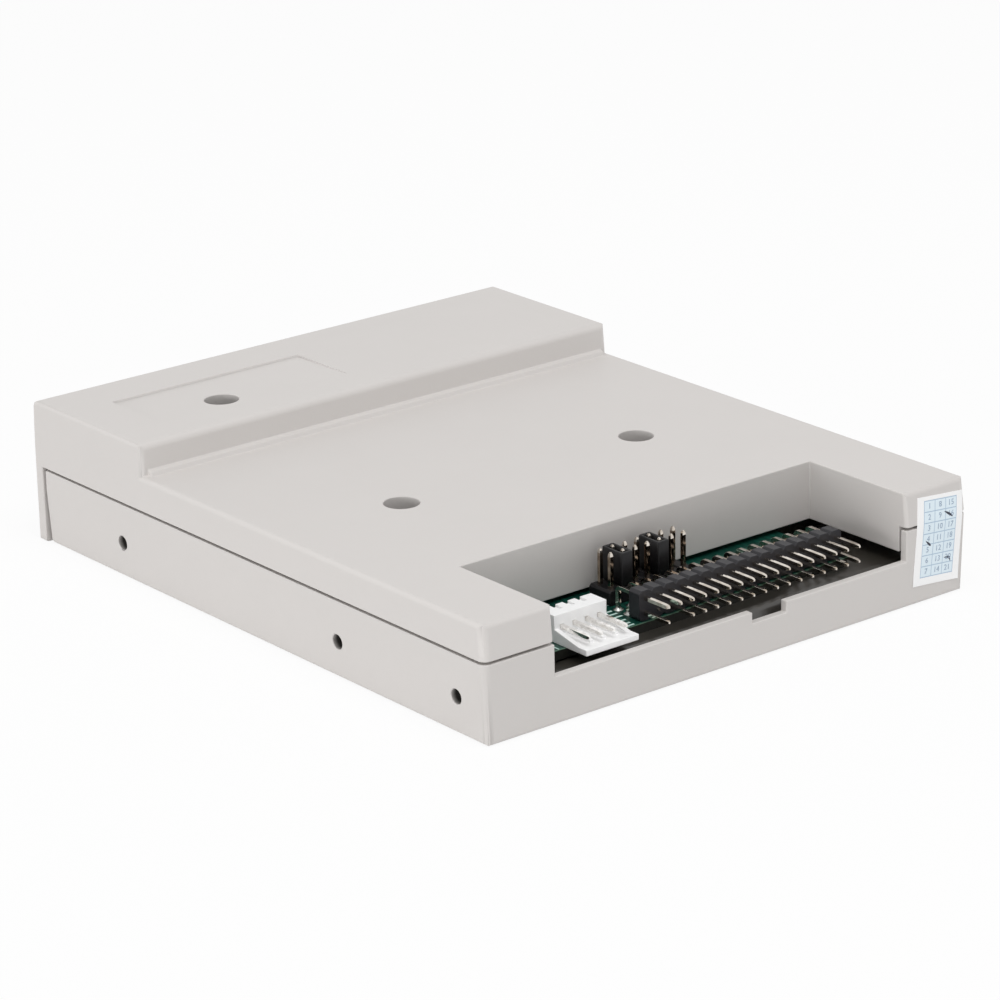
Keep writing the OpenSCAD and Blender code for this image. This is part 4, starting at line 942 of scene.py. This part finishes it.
def open_cap(node):
    """Rings of a lidless box: rounded rectangles up the outside and down the inside, with cut edges."""
    low, high = node_box(node)
    middle, half = (low + high) / 2, (high - low) / 2
    inner, edge = half[:2] - CAP_WALLS, CAP_EDGE
    outer = [rounded_rect(*(half[:2] - cut), CAP_CORNER) for cut in (edge, 0.0, 0.0, edge)]
    slot = [rounded_rect(*(inner + cut), SLOT_CORNER) for cut in (edge, 0.0, 0.0)]
    heights = [low[2], low[2] + edge, high[2] - edge, high[2], high[2], high[2] - edge, low[2]]
    rings = np.stack([np.insert(flat + middle[:2], 2, z, axis=1) for flat, z in zip(outer + slot, heights)])
    return tube_piece("open_" + node, rings, loop=True, smooth=50.0)


for cap in ("jumper_cap_a", "jumper_cap_b"):
    dress(open_cap(cap), cap)
print("jumper caps: 2")

# %% [markdown]
# ## Power connector, screws, window and tongue
#
# These shapes are right as solids and only too crisp. They could be built again from profiles, but a softened
# copy keeps every detail of the CAD model. Each has its own radius, in mm.

# %% Softened small parts
SMALL_EDGES = {"power_housing": 0.10, "cover_screws": 0.12, "display_window": 0.18, "usb_tongue": 0.12}
for node, edge in SMALL_EDGES.items():
    dress(softened_copy(node, edge * MM), node)

# %% [markdown]
# ## Front panel parts
#
# Two push buttons with a shallow dish for the fingertip, a lamp with a domed end, and a socket folded from
# sheet metal. Buttons and lamp are turned shapes, so each is a profile of radius and depth; a Screw modifier
# could turn it as well. The socket is a rounded rectangle that runs from its back, over the mouth's rim and
# down the inside.

# %% Front panel
BUTTON_RADIUS, FLANGE_RADIUS, FLANGE_THICK = 2.2 * MM, 3.1 * MM, 0.8 * MM
DISH_START, DISH_SHARE, DISH_DEPTH, DISH_END = 0.02, 0.82, 0.30 * MM, 0.02 * MM
BUTTON_RIM = np.array([[0.90 * BUTTON_RADIUS, 0.0], [0.97 * BUTTON_RADIUS, 0.10 * MM],
                       [BUTTON_RADIUS, 0.32 * MM]])
POCKET_RADIUS, POCKET_DEPTH = 1.52 * MM, 1.2 * MM
LAMP_RADIUS, LAMP_FLANGE = 1.5 * MM, 1.0 * MM
SHEET, SOCKET_CORNER, LIP, LIP_DEPTH = 0.3 * MM, 0.75 * MM, 0.08 * MM, 0.05 * MM


def turned_piece(name, node, profile, points):
    """A piece in a node's place: a profile, made for its depth and half width, turned round the Y axis."""
    low, high = node_box(node)
    middle, half = (low + high) / 2, (high - low) / 2
    shape = profile(high[1] - low[1], half[0])
    dress(tube_piece(name, lathe(shape, (middle[0], low[1], middle[2]), (0, 1, 0), points)), node)


def button_profile(deep, _):
    """The dish as a parabola, the rim, the flange at the back, and the pocket for the plunger."""
    dish = np.linspace(DISH_START, DISH_SHARE, 7)
    depth = DISH_DEPTH * (1 - (dish / DISH_SHARE) ** 2) + DISH_END
    flange = [[BUTTON_RADIUS, deep - FLANGE_THICK], [FLANGE_RADIUS, deep - FLANGE_THICK],
              [FLANGE_RADIUS, deep], [POCKET_RADIUS, deep], [POCKET_RADIUS, deep - POCKET_DEPTH]]
    return np.concatenate([np.column_stack([dish * BUTTON_RADIUS, depth]), BUTTON_RIM, flange])


def lamp_profile(deep, flange):
    """The dome as a quarter circle, the barrel, and the flange at the back."""
    swing = np.radians(np.linspace(1, 90, 9))
    dome = LAMP_RADIUS * np.column_stack([np.sin(swing), 1 - np.cos(swing)])
    seat = deep - LAMP_FLANGE
    return np.concatenate([dome, [[LAMP_RADIUS, seat], [flange, seat], [flange, deep]]])


def folded_socket():
    """Rounded rectangles, each smaller by an inset: over the outside, round the lip and down the inside."""
    low, high = node_box("usb_shell")
    middle, half = (low + high) / 2, (high - low) / 2
    front, rear = low[1], high[1]
    steps = [(SHEET, rear), (0.0, rear - SHEET), (0.0, front + LIP_DEPTH), (LIP, front),
             (SHEET - LIP, front), (SHEET, front + LIP), (SHEET, rear - SHEET)]
    flat = [rounded_rect(half[0] - inset, half[2] - inset, SOCKET_CORNER - inset) for inset, _ in steps]
    rings = np.stack([np.insert(ring, 1, y, axis=1) for ring, (_, y) in zip(flat, steps)])
    return tube_piece("folded_socket", rings + [middle[0], 0, middle[2]], smooth=40.0)


for button in ("button_cap_up", "button_cap_down"):
    turned_piece("dished_" + button, button, button_profile, 48)
turned_piece("domed_lamp", "activity_lamp", lamp_profile, 40)
dress(folded_socket(), "usb_shell")
print("front panel: 2 buttons, lamp, socket")

# %% [markdown]
# ## The sticker across the seam
#
# A small paper sticker bridges the rear seam and leans a little. The top shell slopes away above the seam,
# and the paper follows it in a soft fold. A Shrinkwrap modifier could press a sheet on, but the print has to
# follow too. So the sheet is a grid in (u, v), and one function says where a spot of it lies.

# %% Paper
STICKER_SIZE, STICKER_TILT = np.array([10.2, 15.0]) * MM, math.radians(5)
LEAN, FOLD, SEAM_GAP = math.tan(math.radians(6)), 0.5 * MM, 0.22 * MM
CORNER_R, CORNER_SHARE, CURL = 1.5 * MM, 0.95, 0.16 * MM
PAPER_LIFT, PAPER_THICK, PAPER_SHIFT = 0.02 * MM, 0.07 * MM, np.array([0.25, 0, 0]) * MM
PAPER_FACE = PAPER_LIFT + PAPER_THICK
base_low, base_high = node_box("bottom_shell")
SEAM_Z, REAR_Y = base_high[2] + SEAM_GAP, base_high[1]
sticker_mid = np.mean(node_box("seam_sticker"), axis=0) + PAPER_SHIFT


def on_sticker(u, v, lift):
    """Where the spot (u, v) of the sticker lies: u runs to the right as seen from behind, v runs up.

    Above the seam the rear face leans away: it falls back by the lean times the height over the seam, with a
    soft bend. Round the upright corner of the case it falls back by a circle's sagitta.
    Two corners of the paper stand off a little more, by a power of their closeness to the corner.
    """
    across, above = (0.5 - u) * STICKER_SIZE[0], (v - 0.5) * STICKER_SIZE[1]
    x = sticker_mid[0] + across * math.cos(STICKER_TILT) - above * math.sin(STICKER_TILT)
    z = sticker_mid[2] + across * math.sin(STICKER_TILT) + above * math.cos(STICKER_TILT)
    fall = LEAN * (np.sqrt((z - SEAM_Z) ** 2 + FOLD ** 2) + z - SEAM_Z) / 2
    over = np.clip(base_low[0] + CORNER_R - x, 0, CORNER_SHARE * CORNER_R)
    fall = fall + CORNER_R - np.sqrt(CORNER_R ** 2 - over ** 2)
    curl = CURL * ((u * (1 - v)) ** 8 + 0.5 * ((1 - u) * (1 - v)) ** 10)
    return np.stack([x, REAR_Y - fall + lift + curl, z], axis=-1)


def paper_sheet(columns=20, rows=28):
    """The sheet as a closed slab: a loop of points round each row, on its face and back behind it."""
    grid = np.stack(np.meshgrid(np.linspace(0, 1, columns), np.linspace(0, 1, rows)), axis=-1)
    face, rear = (on_sticker(grid[..., 0], grid[..., 1], lift) for lift in (PAPER_FACE, PAPER_LIFT))
    piece = tube_piece("paper_sticker", np.concatenate([face, rear[:, ::-1]], axis=1), smooth=60.0)
    spots = np.concatenate([grid, grid[:, ::-1]], axis=1).reshape(-1, 2)
    layer = piece.data.uv_layers.new(name="sticker")
    corner = np.empty(len(piece.data.loops), dtype=np.int32)
    piece.data.loops.foreach_get("vertex_index", corner)
    layer.data.foreach_set("uv", spots[corner].ravel())
    return piece


dress(paper_sheet(), "seam_sticker")
print("sticker in mm:", STICKER_SIZE / MM)

# %% [markdown]
# ## Print on the sticker
#
# Numbers fill the cells of the grid, and a pen left three ticks. The paper's material could draw them, but
# figures are hard to write as a formula. So they are thin meshes that go through the paper's own function,
# which keeps them on it. Blender's font gives the numbers their outlines.

# %% Numbers and ticks
INK_THICK, INK_LIFT, NUMBER_HEIGHT = 0.024 * MM, 0.01 * MM, 1.35 * MM
PEN_WIDTH, PEN_LIFTS, PEN_ENDS = 0.20 * MM, np.array([0.02, 0.02, 0.004, 0.004]) * MM, (0.02, 0.98)
STROKES = np.array([
    # from (u, v), to (u, v), bow in (u, v)
    [0.60, 0.80, 0.78, 0.73, 0.01, 0.0], [0.22, 0.50, 0.33, 0.44, 0.02, -0.01],
    [0.66, 0.27, 0.80, 0.22, 0.03, 0.02]])


def number_outline(text):
    """Points and faces of a number from Blender's font, one unit high, round its middle."""
    curve = bpy.data.curves.new("number", "FONT")
    curve.body, curve.size, curve.resolution_u = text, 1.0, 2
    curve.align_x, curve.align_y = "CENTER", "CENTER"
    carrier = add_object("number", curve)
    bpy.context.view_layer.update()
    flat = bpy.data.meshes.new_from_object(carrier.evaluated_get(bpy.context.evaluated_depsgraph_get()))
    points = mesh_points(flat)[:, :2]
    faces = [list(face.vertices) for face in flat.polygons]
    bpy.data.objects.remove(carrier)
    bpy.data.curves.remove(curve)
    bpy.data.meshes.remove(flat)
    return points, faces


def number_print(marks):
    """Numbers on the paper: each outline is scaled, moved to its cell, laid on the sheet and thickened."""
    points, faces, count = [], [], 0
    for text, u, v in marks:
        outline, outline_faces = number_outline(text)
        spots = [u, v] + outline * NUMBER_HEIGHT / STICKER_SIZE
        points.append(on_sticker(spots[:, 0], spots[:, 1], PAPER_FACE + INK_LIFT))
        faces += [[index + count for index in face] for face in outline_faces]
        count += len(spots)
    piece = new_piece("sticker_numbers", np.concatenate(points), faces)
    body = piece.modifiers.new("ink_body", "SOLIDIFY")
    body.thickness, body.offset = INK_THICK, 0.0
    return piece


def pen_ticks(strokes, steps=12):
    """Pen strokes: a path with a bow from one spot to another, as wide as a half sine, laid on the paper."""
    t = np.linspace(0, 1, steps)[None, :, None]
    start, end, bow = (strokes[:, None, i:i + 2] for i in (0, 2, 4))
    path = start + (end - start) * t + bow * np.sin(np.pi * t)
    along = unit((end - start) * STICKER_SIZE)
    side = np.stack([-along[..., 1], along[..., 0]], axis=-1)
    half = PEN_WIDTH * (0.25 + 0.75 * np.sin(np.pi * np.clip(t, *PEN_ENDS))) * side / STICKER_SIZE
    edges = np.stack([path - half, path + half, path + half, path - half], axis=2)
    return tube_piece("sticker_ticks", on_sticker(edges[..., 0], edges[..., 1], PAPER_FACE + PEN_LIFTS))


def cell_middles(axis):
    """The middles of the grid's cells along an axis, in steps of one cell."""
    start, end, cells, _ = GRID[axis]
    return start + (np.arange(cells) + 0.5) * (end - start) / cells


cells = [(u, v) for u in cell_middles("X") for v in cell_middles("Y")[::-1]]
numbers = [(str(count), u, v) for count, (u, v) in enumerate(cells, start=1)]
dress(number_print(numbers), slot="sticker_paper", finish="blue_ink")
dress(pen_ticks(STROKES), slot="sticker_paper", finish="pen_ink")
print("print:", len(numbers), "numbers,", len(STROKES), "ticks")

# %% [markdown]
# ## What stays as it is
#
# The rest of the solids sit inside the case or are small and plain, so they keep their shape and only take a
# finish, by their slots.

# %% Remaining nodes
for node, slot in SLOT_OF.items():
    frame["nodes"][node].material_slots[0].material = FINISH[SLOT_FINISH[slot]]
print("CAD nodes with a finish:", len(SLOT_OF))
